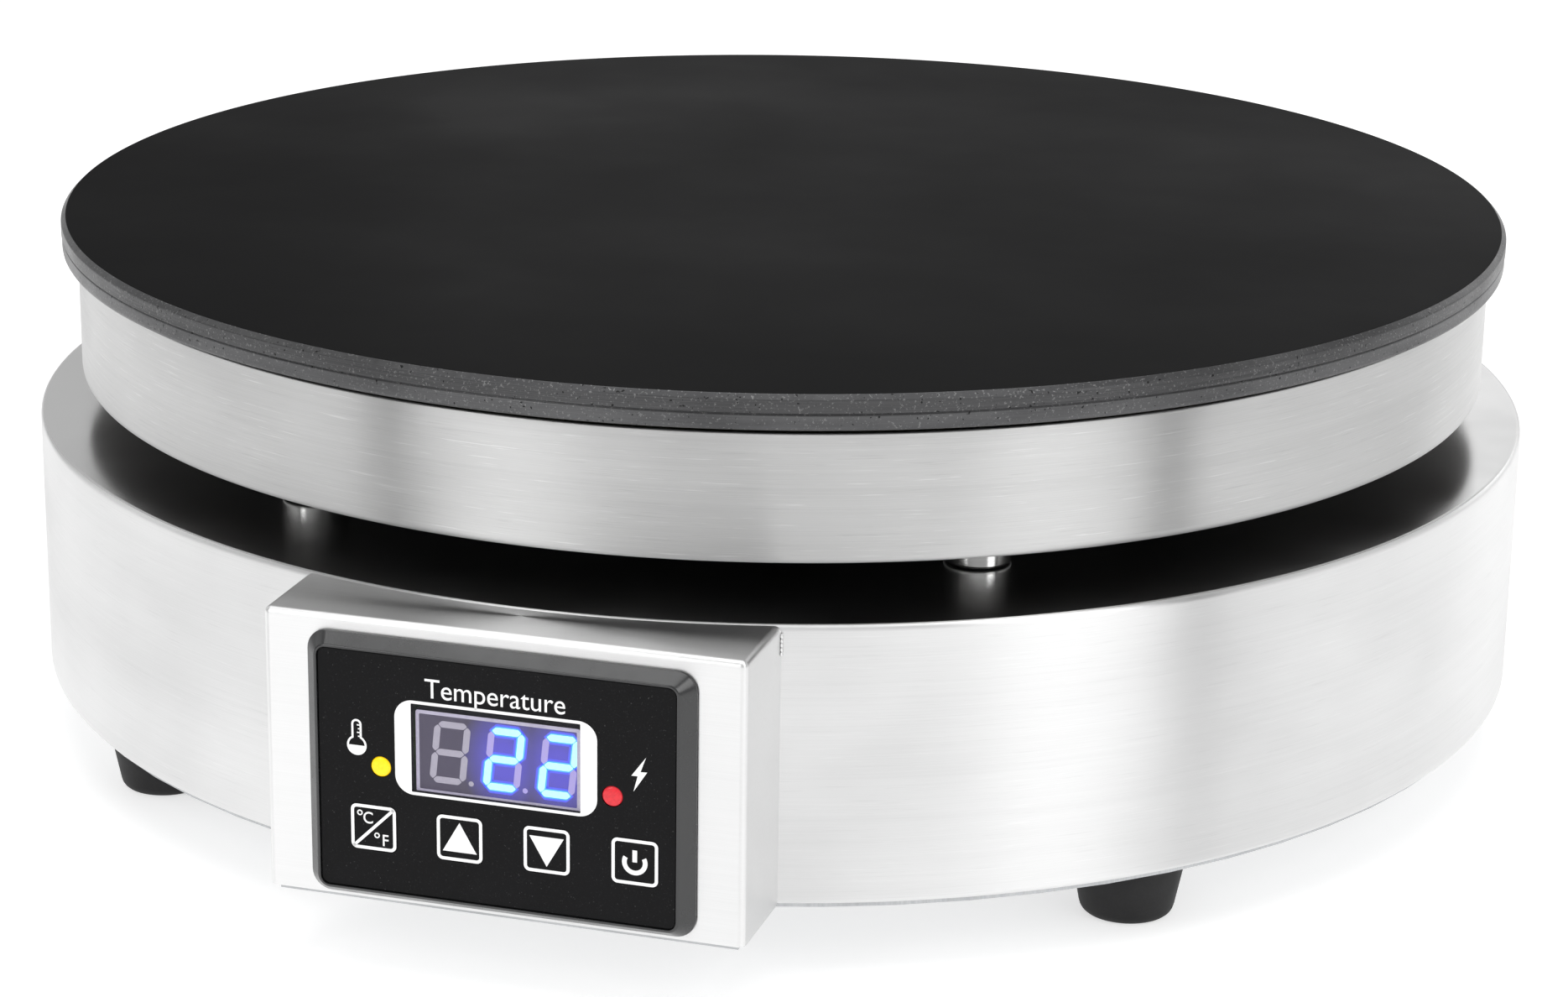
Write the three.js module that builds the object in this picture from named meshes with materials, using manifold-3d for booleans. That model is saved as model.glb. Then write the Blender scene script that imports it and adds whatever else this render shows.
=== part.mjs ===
// Round electric griddle (crepe maker) with a 400 mm cast iron plate and a digital control box.
// Millimetres, +Z up. The origin lies on the plate's axis, level with the soles of the feet.
// The control box and its panel face -Y, and the cable gland faces +Y.
import * as THREE from 'three';
import { mergeVertices } from 'three/addons/utils/BufferGeometryUtils.js';
import Module from 'manifold-3d';

const wasm = await Module();
wasm.setup();

// Clearances
const FIT_GAP = 0.3; // between two parts that seat on each other
const HOLE_GAP = 0.5; // round a screw, stud or skirt in its hole, on each side

// Cooking plate
const PLATE_DIAMETER = 400;
const PLATE_THICKNESS = 8.9;
const PLATE_CHAMFER = 1.3;
const PLATE_LOWER_ROUND = 0.8;
const RIM_LINE_HEIGHT = 4.1; // machined line in the rim, above the plate's underside
const RIM_LINE_DEPTH = 0.4;
const PLATE_BOSS_DIAMETER = 26;
const PLATE_BOSS_MARGIN = 1; // the boss reaches this far below the heater
const STUD_BITE = 5; // how far each stud reaches into the plate

// Drum under the plate
const PLATE_OVERHANG = 4.3; // plate's rim past the drum's wall
const PLATE_LIFT = 1.8; // open gap between the drum's top edge and the plate
const DRUM_HEIGHT = 32.6;
const DRUM_SHEET = 1;
const DRUM_BEND = 2.5;

// Standoff posts and the studs through them
const POST_INSET = 31.2; // post's axis in from the drum's outside
const POST_PITCH_ANGLE = 64; // between the two posts of a pair, in degrees
const POST_TURN_ANGLE = 2; // drum's turn on the base, in degrees
const POST_HEIGHT = 10.3;
const POST_DIAMETER = 17;
const STUD_DIAMETER = 8;
const STUD_TAIL = 3; // thread that shows under the nut
const STUD_NUT_WIDTH = 13;
const STUD_NUT_HEIGHT = 6.5;
const SLEEVE_DIAMETER = 14;
const CONDUIT_DIAMETER = 26;
const CONDUIT_WALL = 2;

// Heater, insulation and sensors
const HEATER_TUBE_DIAMETER = 8;
const HEATER_INNER_RADIUS = 62;
const HEATER_TURNS = 2;
const HEATER_SLEEVE_MARGIN = 3.5; // heater's outer turn in from the spacer sleeves
const HEATER_BEND = 7;
const HEATER_TAIL = 4; // straight cold ends below the bend
const CLAMP_THICKNESS = 3;
const CLAMP_ARM_WIDTH = 18;
const CLAMP_BOLT_DIAMETER = 8;
const CLAMP_BOLT_HEAD_HEIGHT = 5.3;
const CLAMP_BOLT_HEAD_WIDTH = 13;
const CLAMP_BOLT_BITE = 6;
const INSULATION_THICKNESS = 9;
const SENSOR_RADIUS = 36; // sensors' distance from the axis
const PROBE_DIAMETER = 6;
const PROBE_LENGTH = 40;
const PROBE_SADDLE = 12;
const CUTOUT_DIAMETER = 16;
const CUTOUT_HEIGHT = 7;
const CUTOUT_TAB = 24;

// Control panel
const KEY_WIDTH = 11.7;
const KEY_HEIGHT = 11.6;
const KEY_PITCH = 21.9;
const KEY_ROW_SHIFT = 1.75; // key row's middle, to the right of the panel's middle
const KEY_SIDE_MARGIN = 4.15;
const KEY_BOTTOM_MARGIN = 10;
const KEY_CORNER = 1.7;
const KEY_TRAVEL = 0.5;
const KEY_FLANGE = 0.9; // hidden lip round each key, behind the overlay
const KEY_STEM_DIAMETER = 3.4;
const WINDOW_WIDTH = 42.2;
const WINDOW_HEIGHT = 22.2;
const WINDOW_ABOVE_KEYS = 4.8;
const HEADER_HEIGHT = 11.5; // over the window, where the function word is
const LAMP_DIAMETER = 5;
const LAMP_SIDE_STEP = 7.9; // lamp's middle, out from the window's side
const LAMP_ABOVE_WINDOW_SILL = 5.2;
const OVERLAY_THICKNESS = 1.3;
const OVERLAY_RECESS = 0.4;
const OVERLAY_CORNER = 2;

// Bezel round the panel
const BEZEL_LIP = 0.6;
const BEZEL_SIDE_SLOPE = 3.4;
const BEZEL_TOP_SLOPE = 2.6;
const BEZEL_PROUD = 4.2;
const BEZEL_CORNER = 5;
const BEZEL_FLANGE = 0.4; // square foot of the bezel on the box
const BEZEL_LEDGE = 2; // ledge that carries the overlay
const BEZEL_SKIRT_WALL = 1.6;
const BEZEL_SKIRT_DEPTH = 7; // behind the box's front sheet

// Parts on the control board
const BOARD_THICKNESS = 1.6;
const DISPLAY_SIDE_MARGIN = 0.4; // display module inside the window's outline, at each side
const DISPLAY_END_MARGIN = 0.65; // the same, above and below, before its drop
const DISPLAY_DROP = 1.2; // display module's middle, below the window's middle
const DISPLAY_BEHIND_WINDOW = 0.4;
const SWITCH_WIDTH = 6.2;
const SWITCH_HEIGHT = 5;
const SWITCH_FLOOR = 1;

// Housing: round base and control box
const BASE_OVERHANG = 11.8; // base's wall past the drum's wall
const BASE_SHEET = 1.2;
const BASE_BEND = 2;
const BASE_FLANGE = 34; // inward flange that the feet bolt to
const BOX_TOP_MARGIN = 3.7; // over the bezel
const BOX_BOTTOM_MARGIN = 1; // under the bezel
const BOX_SIDE_MARGIN = 11.65; // beside the bezel
const BOX_PROJECTION = 18.2;
const BOX_BEND = 2;
const BOX_DOORWAY_MARGIN = 6; // of base wall left round the way into the box

// Bottom cover and feet
const COVER_THICKNESS = 1.2;
const COVER_INSET = 2;
const VENT_LENGTH = 60;
const VENT_WIDTH = 6;
const VENT_PITCH = 11;
const VENTS_PER_BANK = 5;
const VENT_BANK_RADIUS = 90;
const FOOT_INSET = 20.5; // foot's axis in from the base's outside
const FOOT_HEIGHT = 16.5;
const FOOT_TOP_DIAMETER = 29.5;
const FOOT_SOLE_DIAMETER = 23;
const FOOT_ROUND = 2.5;
const FOOT_RECESS_DIAMETER = 13;
const FOOT_RECESS_DEPTH = 8;
const FOOT_SCREW_DIAMETER = 5;
const FOOT_SCREW_HEAD_DIAMETER = 10;
const FOOT_SCREW_HEAD_HEIGHT = 3.5;
const FOOT_SCREW_TAIL = 7;

// Power parts inside the base
const RELAY_SIZE = [50, 40, 28];
const RELAY_PLACE = [-70, 20];
const TERMINAL_SIZE = [60, 22, 18];
const TERMINAL_PLACE = [30, 120];
const TERMINAL_POLES = 4;

// Cable gland
const GLAND_HEX_WIDTH = 27;
const GLAND_HEX_HEIGHT = 5.5;
const GLAND_THREAD_DIAMETER = 20;
const GLAND_BORE = 11;
const GLAND_THREAD_INSIDE = 9;
const GLAND_CAP_DIAMETER = 25;
const GLAND_CAP_LENGTH = 16.3;
const GLAND_CAP_MOUTH = 13;
const GLAND_NECK_DIAMETER = 17;
const LOCKNUT_WIDTH = 26;
const LOCKNUT_THICKNESS = 5;

// Levels and radii that follow from the sizes above
const plateRadius = PLATE_DIAMETER / 2;
const drumRadius = plateRadius - PLATE_OVERHANG;
const baseRadius = drumRadius + BASE_OVERHANG;
const postRadius = drumRadius - POST_INSET;
const heaterRadius = postRadius - SLEEVE_DIAMETER / 2 - HEATER_SLEEVE_MARGIN - HEATER_TUBE_DIAMETER / 2;
const footRadius = baseRadius - FOOT_INSET;
const overlayWidth = 3 * KEY_PITCH + KEY_WIDTH + 2 * (KEY_ROW_SHIFT + KEY_SIDE_MARGIN);
const overlayHeight = KEY_BOTTOM_MARGIN + KEY_HEIGHT + WINDOW_ABOVE_KEYS + WINDOW_HEIGHT + HEADER_HEIGHT;
const bezelWidth = overlayWidth + 2 * (BEZEL_LIP + BEZEL_SIDE_SLOPE);
const bezelHeight = overlayHeight + 2 * (BEZEL_LIP + BEZEL_TOP_SLOPE);
const boxWidth = bezelWidth + 2 * BOX_SIDE_MARGIN;
const boxFront = baseRadius + BOX_PROJECTION;
const housingHeight = bezelHeight + BOX_TOP_MARGIN + BOX_BOTTOM_MARGIN;
const panelLevel = BOX_BOTTOM_MARGIN + bezelHeight / 2; // panel's middle over the housing's bottom
const coverBottom = FOOT_HEIGHT + FIT_GAP;
const housingBottom = coverBottom + COVER_THICKNESS + FIT_GAP;
const housingTop = housingBottom + housingHeight;
const postBottom = housingTop + FIT_GAP;
const drumBottom = postBottom + POST_HEIGHT + FIT_GAP;
const drumFloor = drumBottom + DRUM_SHEET;
const plateBottom = drumBottom + DRUM_HEIGHT + PLATE_LIFT;
const bossHeight = HEATER_TUBE_DIAMETER + PLATE_BOSS_MARGIN;
const bossBottom = plateBottom - bossHeight;
const keyRowLevel = KEY_BOTTOM_MARGIN + KEY_HEIGHT / 2 - overlayHeight / 2;
const windowLevel = overlayHeight / 2 - HEADER_HEIGHT - WINDOW_HEIGHT / 2;
const overlayFront = BEZEL_PROUD - OVERLAY_RECESS;
const overlayBack = overlayFront - OVERLAY_THICKNESS;
const boardFront = -BASE_SHEET - BEZEL_SKIRT_DEPTH - FIT_GAP;
const skirtWidth = overlayWidth - 2 * BEZEL_LEDGE + 2 * BEZEL_SKIRT_WALL;
const skirtHeight = overlayHeight - 2 * BEZEL_LEDGE + 2 * BEZEL_SKIRT_WALL;

// Number of flat sides round the large, middle and small circles
const LARGE_CIRCLE = 72;
const MIDDLE_CIRCLE = 18;
const SMALL_CIRCLE = 10;
const CORNER_STEPS = 2; // half the number of flats round a corner

const POST_ANGLES = [
  -90 + POST_TURN_ANGLE - POST_PITCH_ANGLE / 2,
  -90 + POST_TURN_ANGLE + POST_PITCH_ANGLE / 2,
  90 + POST_TURN_ANGLE - POST_PITCH_ANGLE / 2,
  90 + POST_TURN_ANGLE + POST_PITCH_ANGLE / 2,
];
const FOOT_ANGLES = [-135, -45, 45, 135];
const KEY_NAMES = ['key_unit', 'key_up', 'key_down', 'key_power'];

// ---------- materials ----------

function material(colour, roughness, metalness) {
  return new THREE.MeshStandardMaterial({ color: colour, roughness, metalness });
}

function castIron() {
  return material(0x2b2b2c, 0.55, 0.6);
}

function brushedSteel() {
  return material(0xc9c9c7, 0.32, 1);
}

function plainSteel() {
  return material(0x9a9a98, 0.4, 1);
}

function darkPlastic() {
  return material(0x3a3b3d, 0.5, 0);
}

function blackFilm() {
  return material(0x141415, 0.45, 0);
}

function smokedGlass() {
  return material(0x4b4a55, 0.2, 0);
}

function blackRubber() {
  return material(0x2a2a2b, 0.8, 0);
}

function lampLens(colour) {
  return material(colour, 0.3, 0);
}

function moulding(colour) {
  return material(colour, 0.6, 0);
}

function mineralWool() {
  return material(0xd9d4c4, 0.95, 0);
}

function circuitBoard() {
  return material(0x1f5a36, 0.6, 0);
}

// ---------- geometry helpers ----------

function toSolid(geometry) {
  const bare = geometry.clone();
  bare.deleteAttribute('normal');
  bare.deleteAttribute('uv');
  const merged = mergeVertices(bare, 1e-4);
  return new wasm.Manifold(new wasm.Mesh({
    numProp: 3,
    vertProperties: new Float32Array(merged.attributes.position.array),
    triVerts: new Uint32Array(merged.index.array),
  }));
}

function toGeometry(solid) {
  const mesh = solid.getMesh();
  const geometry = new THREE.BufferGeometry();
  geometry.setAttribute('position', new THREE.BufferAttribute(mesh.vertProperties, 3));
  geometry.setIndex(new THREE.BufferAttribute(mesh.triVerts, 1));
  geometry.computeVertexNormals();
  return geometry;
}

function cut(geometry, cutters) {
  let solid = toSolid(geometry);
  for (const cutter of cutters) {
    solid = solid.subtract(toSolid(cutter));
  }
  return toGeometry(solid);
}

function join(geometries) {
  let solid = toSolid(geometries[0]);
  for (const extra of geometries.slice(1)) {
    solid = solid.add(toSolid(extra));
  }
  return toGeometry(solid);
}

function radians(degrees) {
  return degrees * Math.PI / 180;
}

function aroundAxis(radius, degrees) {
  return [radius * Math.cos(radians(degrees)), radius * Math.sin(radians(degrees))];
}

// Solid of revolution about Z. The profile is a list of [radius, height] pairs.
function turned(profile, sides) {
  const points = profile.map(([radius, height]) => new THREE.Vector2(radius, height));
  const geometry = new THREE.LatheGeometry(points, sides);
  geometry.rotateX(Math.PI / 2);
  return geometry;
}

// Ring with a square section, from the inner to the outer radius and from bottom to top.
function ring(inner, outer, bottom, top, sides) {
  return turned([[inner, bottom], [outer, bottom], [outer, top], [inner, top], [inner, bottom]], sides);
}

// Upright round bar.
function bar(radius, bottom, top, sides) {
  return turned([[0, bottom], [radius, bottom], [radius, top], [0, top]], sides);
}

// Upright hexagonal prism, measured across its flats.
function hexagon(width, bottom, top) {
  return bar(width / 2 / Math.cos(Math.PI / 6), bottom, top, 6);
}

function boxAt(width, depth, height, x, y, z) {
  const geometry = new THREE.BoxGeometry(width, depth, height);
  geometry.translate(x, y, z);
  return geometry;
}

function moved(geometry, x, y, z) {
  geometry.translate(x, y, z);
  return geometry;
}

function roundedRectangle(width, height, corner) {
  const shape = new THREE.Shape();
  const x = width / 2;
  const y = height / 2;
  shape.moveTo(-x + corner, -y);
  shape.lineTo(x - corner, -y);
  shape.absarc(x - corner, -y + corner, corner, -Math.PI / 2, 0, false);
  shape.lineTo(x, y - corner);
  shape.absarc(x - corner, y - corner, corner, 0, Math.PI / 2, false);
  shape.lineTo(-x + corner, y);
  shape.absarc(-x + corner, y - corner, corner, Math.PI / 2, Math.PI, false);
  shape.lineTo(-x, -y + corner);
  shape.absarc(-x + corner, -y + corner, corner, Math.PI, Math.PI * 1.5, false);
  return shape;
}

// Flat piece with a rounded rectangle for its outline, from back to front along Z.
function roundedSlab(width, height, corner, back, front) {
  const shape = roundedRectangle(width, height, corner);
  const geometry = new THREE.ExtrudeGeometry(shape, {
    depth: front - back,
    bevelEnabled: false,
    curveSegments: CORNER_STEPS,
  });
  geometry.translate(0, 0, back);
  return geometry;
}

function named(name, geometry, surface) {
  const mesh = new THREE.Mesh(geometry, surface);
  mesh.name = name;
  return mesh;
}

function placed(mesh, x, y, z) {
  mesh.position.set(x, y, z);
  return mesh;
}

// ---------- cooking plate and heater ----------

function makeCookingPlate() {
  const top = PLATE_THICKNESS;
  const lineHalf = RIM_LINE_DEPTH;
  const profile = [
    [0, -bossHeight],
    [PLATE_BOSS_DIAMETER / 2, -bossHeight],
    [PLATE_BOSS_DIAMETER / 2, 0],
    [plateRadius - PLATE_LOWER_ROUND, 0],
    [plateRadius - RIM_LINE_DEPTH / 2, PLATE_LOWER_ROUND],
    [plateRadius - RIM_LINE_DEPTH / 2, RIM_LINE_HEIGHT - lineHalf],
    [plateRadius - RIM_LINE_DEPTH, RIM_LINE_HEIGHT],
    [plateRadius, RIM_LINE_HEIGHT + lineHalf],
    [plateRadius, top - PLATE_CHAMFER],
    [plateRadius - PLATE_CHAMFER, top],
    [0, top],
  ];
  const studHoles = POST_ANGLES.map((angle) => {
    const [x, y] = aroundAxis(postRadius, angle);
    return moved(bar(STUD_DIAMETER / 2 + FIT_GAP, -1, STUD_BITE + FIT_GAP, SMALL_CIRCLE), x, y, 0);
  });
  const boltHole = bar(
    CLAMP_BOLT_DIAMETER / 2 + FIT_GAP,
    -bossHeight - 1,
    -bossHeight + CLAMP_BOLT_BITE + FIT_GAP,
    SMALL_CIRCLE,
  );
  const geometry = cut(turned(profile, LARGE_CIRCLE), [...studHoles, boltHole]);
  return placed(named('cooking_plate', geometry, castIron()), 0, 0, plateBottom);
}

// Flat spiral under the plate whose two cold ends turn down into the drum.
function makeHeatingElement() {
  const outer = heaterRadius;
  const steps = 30 * HEATER_TURNS;
  const points = [];
  for (let step = 0; step <= steps; step += 1) {
    const share = step / steps;
    const radius = HEATER_INNER_RADIUS + (outer - HEATER_INNER_RADIUS) * share;
    const [x, y] = aroundAxis(radius, 360 * HEATER_TURNS * share);
    points.push(new THREE.Vector3(x, y, 0));
  }
  const first = points[0];
  const last = points[points.length - 1];
  for (const turn of [30, 60, 90]) {
    const along = HEATER_BEND * Math.sin(radians(turn));
    const down = HEATER_BEND * (1 - Math.cos(radians(turn)));
    points.unshift(new THREE.Vector3(first.x, first.y - along, -down));
    points.push(new THREE.Vector3(last.x, last.y + along, -down));
  }
  points.unshift(new THREE.Vector3(first.x, first.y - HEATER_BEND, -HEATER_BEND - HEATER_TAIL));
  points.push(new THREE.Vector3(last.x, last.y + HEATER_BEND, -HEATER_BEND - HEATER_TAIL));
  const path = new THREE.CatmullRomCurve3(points, false, 'centripetal');
  const section = new THREE.Shape();
  section.absarc(0, 0, HEATER_TUBE_DIAMETER / 2, 0, Math.PI * 2, false);
  const geometry = new THREE.ExtrudeGeometry(section, {
    extrudePath: path,
    steps: 38 * HEATER_TURNS,
    curveSegments: 4,
    bevelEnabled: false,
  });
  const height = plateBottom - FIT_GAP - HEATER_TUBE_DIAMETER / 2;
  return placed(named('heating_element', geometry, plainSteel()), 0, 0, height);
}

function makeElementClamp() {
  const reach = heaterRadius + HEATER_TUBE_DIAMETER;
  const pieces = [bar(PLATE_BOSS_DIAMETER / 2, 0, CLAMP_THICKNESS, MIDDLE_CIRCLE)];
  for (const angle of [30, 150, 270]) {
    const arm = boxAt(reach, CLAMP_ARM_WIDTH, CLAMP_THICKNESS, reach / 2, 0, CLAMP_THICKNESS / 2);
    arm.rotateZ(radians(angle));
    pieces.push(arm);
  }
  const boltHole = bar(CLAMP_BOLT_DIAMETER / 2 + FIT_GAP, -1, CLAMP_THICKNESS + 1, SMALL_CIRCLE);
  const geometry = cut(join(pieces), [boltHole]);
  const height = bossBottom - FIT_GAP - CLAMP_THICKNESS;
  return placed(named('element_clamp', geometry, plainSteel()), 0, 0, height);
}

function makeClampBolt(clamp) {
  const radius = CLAMP_BOLT_DIAMETER / 2;
  const head = hexagon(CLAMP_BOLT_HEAD_WIDTH, -CLAMP_BOLT_HEAD_HEIGHT, 0);
  const shankTop = bossBottom + CLAMP_BOLT_BITE - clamp.position.z + FIT_GAP;
  const geometry = join([head, bar(radius, -1, shankTop, SMALL_CIRCLE)]);
  return placed(named('clamp_bolt', geometry, plainSteel()), 0, 0, clamp.position.z - FIT_GAP);
}

function makeInsulation() {
  const outer = postRadius - SLEEVE_DIAMETER / 2 - FIT_GAP;
  const geometry = ring(CONDUIT_DIAMETER, outer, 0, INSULATION_THICKNESS, 40);
  return placed(named('insulation_pad', geometry, mineralWool()), 0, 0, drumFloor + FIT_GAP);
}

// Sensing bulb held up against the plate by a saddle.
function makeTemperatureProbe() {
  const bulb = bar(PROBE_DIAMETER / 2, -PROBE_LENGTH / 2, PROBE_LENGTH / 2, SMALL_CIRCLE);
  bulb.rotateX(Math.PI / 2);
  const saddle = boxAt(PROBE_SADDLE, PROBE_SADDLE, 2, 0, 0, -PROBE_DIAMETER / 2);
  const geometry = join([bulb, saddle]);
  const height = plateBottom - FIT_GAP - PROBE_DIAMETER / 2;
  return placed(named('temperature_probe', geometry, plainSteel()), SENSOR_RADIUS, 0, height);
}

function makeThermalCutout() {
  const body = bar(CUTOUT_DIAMETER / 2, -CUTOUT_HEIGHT, 0, MIDDLE_CIRCLE);
  const tabs = boxAt(6, CUTOUT_TAB, 1, 0, 0, -CUTOUT_HEIGHT + 1);
  const geometry = join([body, tabs]);
  const cutout = named('thermal_cutout', geometry, moulding(0x2d2622));
  return placed(cutout, -SENSOR_RADIUS, 0, plateBottom - FIT_GAP);
}

// ---------- drum and the posts that carry it ----------

function makeDrumShell() {
  const outer = drumRadius;
  const bend = DRUM_BEND;
  const corner = bend * (1 - Math.SQRT1_2);
  const hole = CONDUIT_DIAMETER / 2 - CONDUIT_WALL;
  const profile = [
    [hole, 0],
    [outer - bend, 0],
    [outer - corner, corner],
    [outer, bend],
    [outer, DRUM_HEIGHT],
    [outer - DRUM_SHEET, DRUM_HEIGHT],
    [outer - DRUM_SHEET, bend],
    [outer - bend, DRUM_SHEET],
    [hole, DRUM_SHEET],
    [hole, 0],
  ];
  const holes = POST_ANGLES.map((angle) => {
    const [x, y] = aroundAxis(postRadius, angle);
    return moved(bar(STUD_DIAMETER / 2 + HOLE_GAP, -1, DRUM_SHEET + 1, SMALL_CIRCLE), x, y, 0);
  });
  const geometry = cut(turned(profile, LARGE_CIRCLE), holes);
  return placed(named('drum_shell', geometry, brushedSteel()), 0, 0, drumBottom);
}

function makeStandoffPost(number, angle) {
  const bore = STUD_DIAMETER / 2 + HOLE_GAP;
  const geometry = ring(bore, POST_DIAMETER / 2, 0, POST_HEIGHT, MIDDLE_CIRCLE);
  const [x, y] = aroundAxis(postRadius, angle);
  return placed(named(`standoff_post_${number}`, geometry, brushedSteel()), x, y, postBottom);
}

// Long stud from the plate, through the drum and the post, to a nut under the base's top.
function makePlateStud(number, angle) {
  const bottom = housingTop - BASE_SHEET - FIT_GAP - STUD_NUT_HEIGHT - STUD_TAIL;
  const length = plateBottom + STUD_BITE - bottom;
  const [x, y] = aroundAxis(postRadius, angle);
  const geometry = bar(STUD_DIAMETER / 2, 0, length, SMALL_CIRCLE);
  return placed(named(`plate_stud_${number}`, geometry, plainSteel()), x, y, bottom);
}

function makeStudNut(number, angle) {
  const blank = hexagon(STUD_NUT_WIDTH, 0, STUD_NUT_HEIGHT);
  const bore = bar(STUD_DIAMETER / 2 + FIT_GAP, -1, STUD_NUT_HEIGHT + 1, SMALL_CIRCLE);
  const bottom = housingTop - BASE_SHEET - FIT_GAP - STUD_NUT_HEIGHT;
  const [x, y] = aroundAxis(postRadius, angle);
  return placed(named(`stud_nut_${number}`, cut(blank, [bore]), plainSteel()), x, y, bottom);
}

// Spacer tube inside the drum that holds the plate at its height.
function makeSpacerSleeve(number, angle) {
  const bottom = drumFloor + FIT_GAP;
  const length = plateBottom - FIT_GAP - bottom;
  const bore = STUD_DIAMETER / 2 + HOLE_GAP;
  const geometry = ring(bore, SLEEVE_DIAMETER / 2, 0, length, SMALL_CIRCLE);
  const [x, y] = aroundAxis(postRadius, angle);
  return placed(named(`spacer_sleeve_${number}`, geometry, plainSteel()), x, y, bottom);
}

function makeWireConduit() {
  const inner = CONDUIT_DIAMETER / 2 - CONDUIT_WALL;
  const geometry = ring(inner, CONDUIT_DIAMETER / 2, 0, POST_HEIGHT, MIDDLE_CIRCLE);
  return placed(named('wire_conduit', geometry, plainSteel()), 0, 0, postBottom);
}

// ---------- housing ----------

function makeBaseShell() {
  const outer = baseRadius;
  const inner = outer - BASE_SHEET;
  const top = housingHeight;
  const bend = BASE_BEND;
  const corner = bend * (1 - Math.SQRT1_2);
  const hole = CONDUIT_DIAMETER / 2 - CONDUIT_WALL;
  const flangeInner = outer - BASE_FLANGE;
  const profile = [
    [flangeInner, 0],
    [outer, 0],
    [outer, top - bend],
    [outer - corner, top - corner],
    [outer - bend, top],
    [hole, top],
    [hole, top - BASE_SHEET],
    [inner, top - BASE_SHEET],
    [inner, BASE_SHEET],
    [flangeInner, BASE_SHEET],
    [flangeInner, 0],
  ];
  const cutters = POST_ANGLES.map((angle) => {
    const [x, y] = aroundAxis(postRadius, angle);
    return moved(bar(STUD_DIAMETER / 2 + HOLE_GAP, top - BASE_SHEET - 1, top + 1, SMALL_CIRCLE), x, y, 0);
  });
  for (const angle of FOOT_ANGLES) {
    const [x, y] = aroundAxis(footRadius, angle);
    cutters.push(moved(bar(FOOT_SCREW_DIAMETER / 2 + HOLE_GAP, -1, BASE_SHEET + 1, SMALL_CIRCLE), x, y, 0));
  }
  const doorWidth = boxWidth - 2 * (BASE_SHEET + BOX_DOORWAY_MARGIN);
  const doorHeight = top - 2 * (BASE_SHEET + BOX_DOORWAY_MARGIN);
  cutters.push(boxAt(doorWidth, outer, doorHeight, 0, -outer, top / 2));
  const glandHole = bar(GLAND_THREAD_DIAMETER / 2 + HOLE_GAP, -10, 10, MIDDLE_CIRCLE);
  glandHole.rotateX(Math.PI / 2);
  cutters.push(moved(glandHole, 0, outer, top / 2));
  const geometry = cut(turned(profile, LARGE_CIRCLE), cutters);
  return placed(named('base_shell', geometry, brushedSteel()), 0, 0, housingBottom);
}

// Folded sheet box in front of the round base, open to the back and below.
function makeControlBox() {
  const depth = boxFront;
  const outer = roundedSlab(boxWidth, 2 * depth, BOX_BEND, 0, housingHeight);
  const inner = boxAt(
    boxWidth - 2 * BASE_SHEET,
    2 * (depth - BASE_SHEET),
    housingHeight,
    0,
    0,
    housingHeight / 2 - BASE_SHEET,
  );
  const behind = boxAt(boxWidth * 2, depth * 2, housingHeight * 3, 0, depth, 0);
  const round = bar(baseRadius + FIT_GAP, -1, housingHeight + 1, LARGE_CIRCLE);
  const opening = boxAt(
    skirtWidth + 2 * HOLE_GAP,
    BASE_SHEET * 4,
    skirtHeight + 2 * HOLE_GAP,
    0,
    -depth,
    panelLevel,
  );
  const geometry = cut(outer, [inner, behind, round, opening]);
  return placed(named('control_box', geometry, brushedSteel()), 0, 0, housingBottom);
}

function ventBank(side) {
  const slots = [];
  for (let index = 0; index < VENTS_PER_BANK; index += 1) {
    const y = (index - (VENTS_PER_BANK - 1) / 2) * VENT_PITCH;
    const slot = roundedSlab(VENT_LENGTH, VENT_WIDTH, VENT_WIDTH / 2 - 0.1, -1, COVER_THICKNESS + 1);
    slots.push(moved(slot, side * VENT_BANK_RADIUS, y, 0));
  }
  return slots;
}

// Flat cover under the base, with a tongue that closes the control box.
function makeBottomCover() {
  const disc = bar(baseRadius - COVER_INSET, 0, COVER_THICKNESS, LARGE_CIRCLE);
  const tongueLength = boxFront - COVER_INSET;
  const tongue = boxAt(
    boxWidth - 2 * COVER_INSET,
    tongueLength,
    COVER_THICKNESS,
    0,
    -tongueLength / 2,
    COVER_THICKNESS / 2,
  );
  const screwHoles = FOOT_ANGLES.map((angle) => {
    const [x, y] = aroundAxis(footRadius, angle);
    return moved(bar(FOOT_SCREW_DIAMETER / 2 + HOLE_GAP, -1, COVER_THICKNESS + 1, SMALL_CIRCLE), x, y, 0);
  });
  const geometry = cut(join([disc, tongue]), [...ventBank(-1), ...ventBank(1), ...screwHoles]);
  return placed(named('bottom_cover', geometry, plainSteel()), 0, 0, coverBottom);
}

function makeFoot(number, angle) {
  const top = FOOT_HEIGHT;
  const sole = FOOT_SOLE_DIAMETER / 2;
  const bore = FOOT_SCREW_DIAMETER / 2 + HOLE_GAP;
  const recess = FOOT_RECESS_DIAMETER / 2;
  const corner = FOOT_ROUND * (1 - Math.SQRT1_2);
  const profile = [
    [recess, 0],
    [sole - FOOT_ROUND, 0],
    [sole - corner, corner],
    [sole, FOOT_ROUND],
    [FOOT_TOP_DIAMETER / 2, top],
    [bore, top],
    [bore, FOOT_RECESS_DEPTH],
    [recess, FOOT_RECESS_DEPTH],
    [recess, 0],
  ];
  const [x, y] = aroundAxis(footRadius, angle);
  return placed(named(`foot_${number}`, turned(profile, MIDDLE_CIRCLE), blackRubber()), x, y, 0);
}

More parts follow.
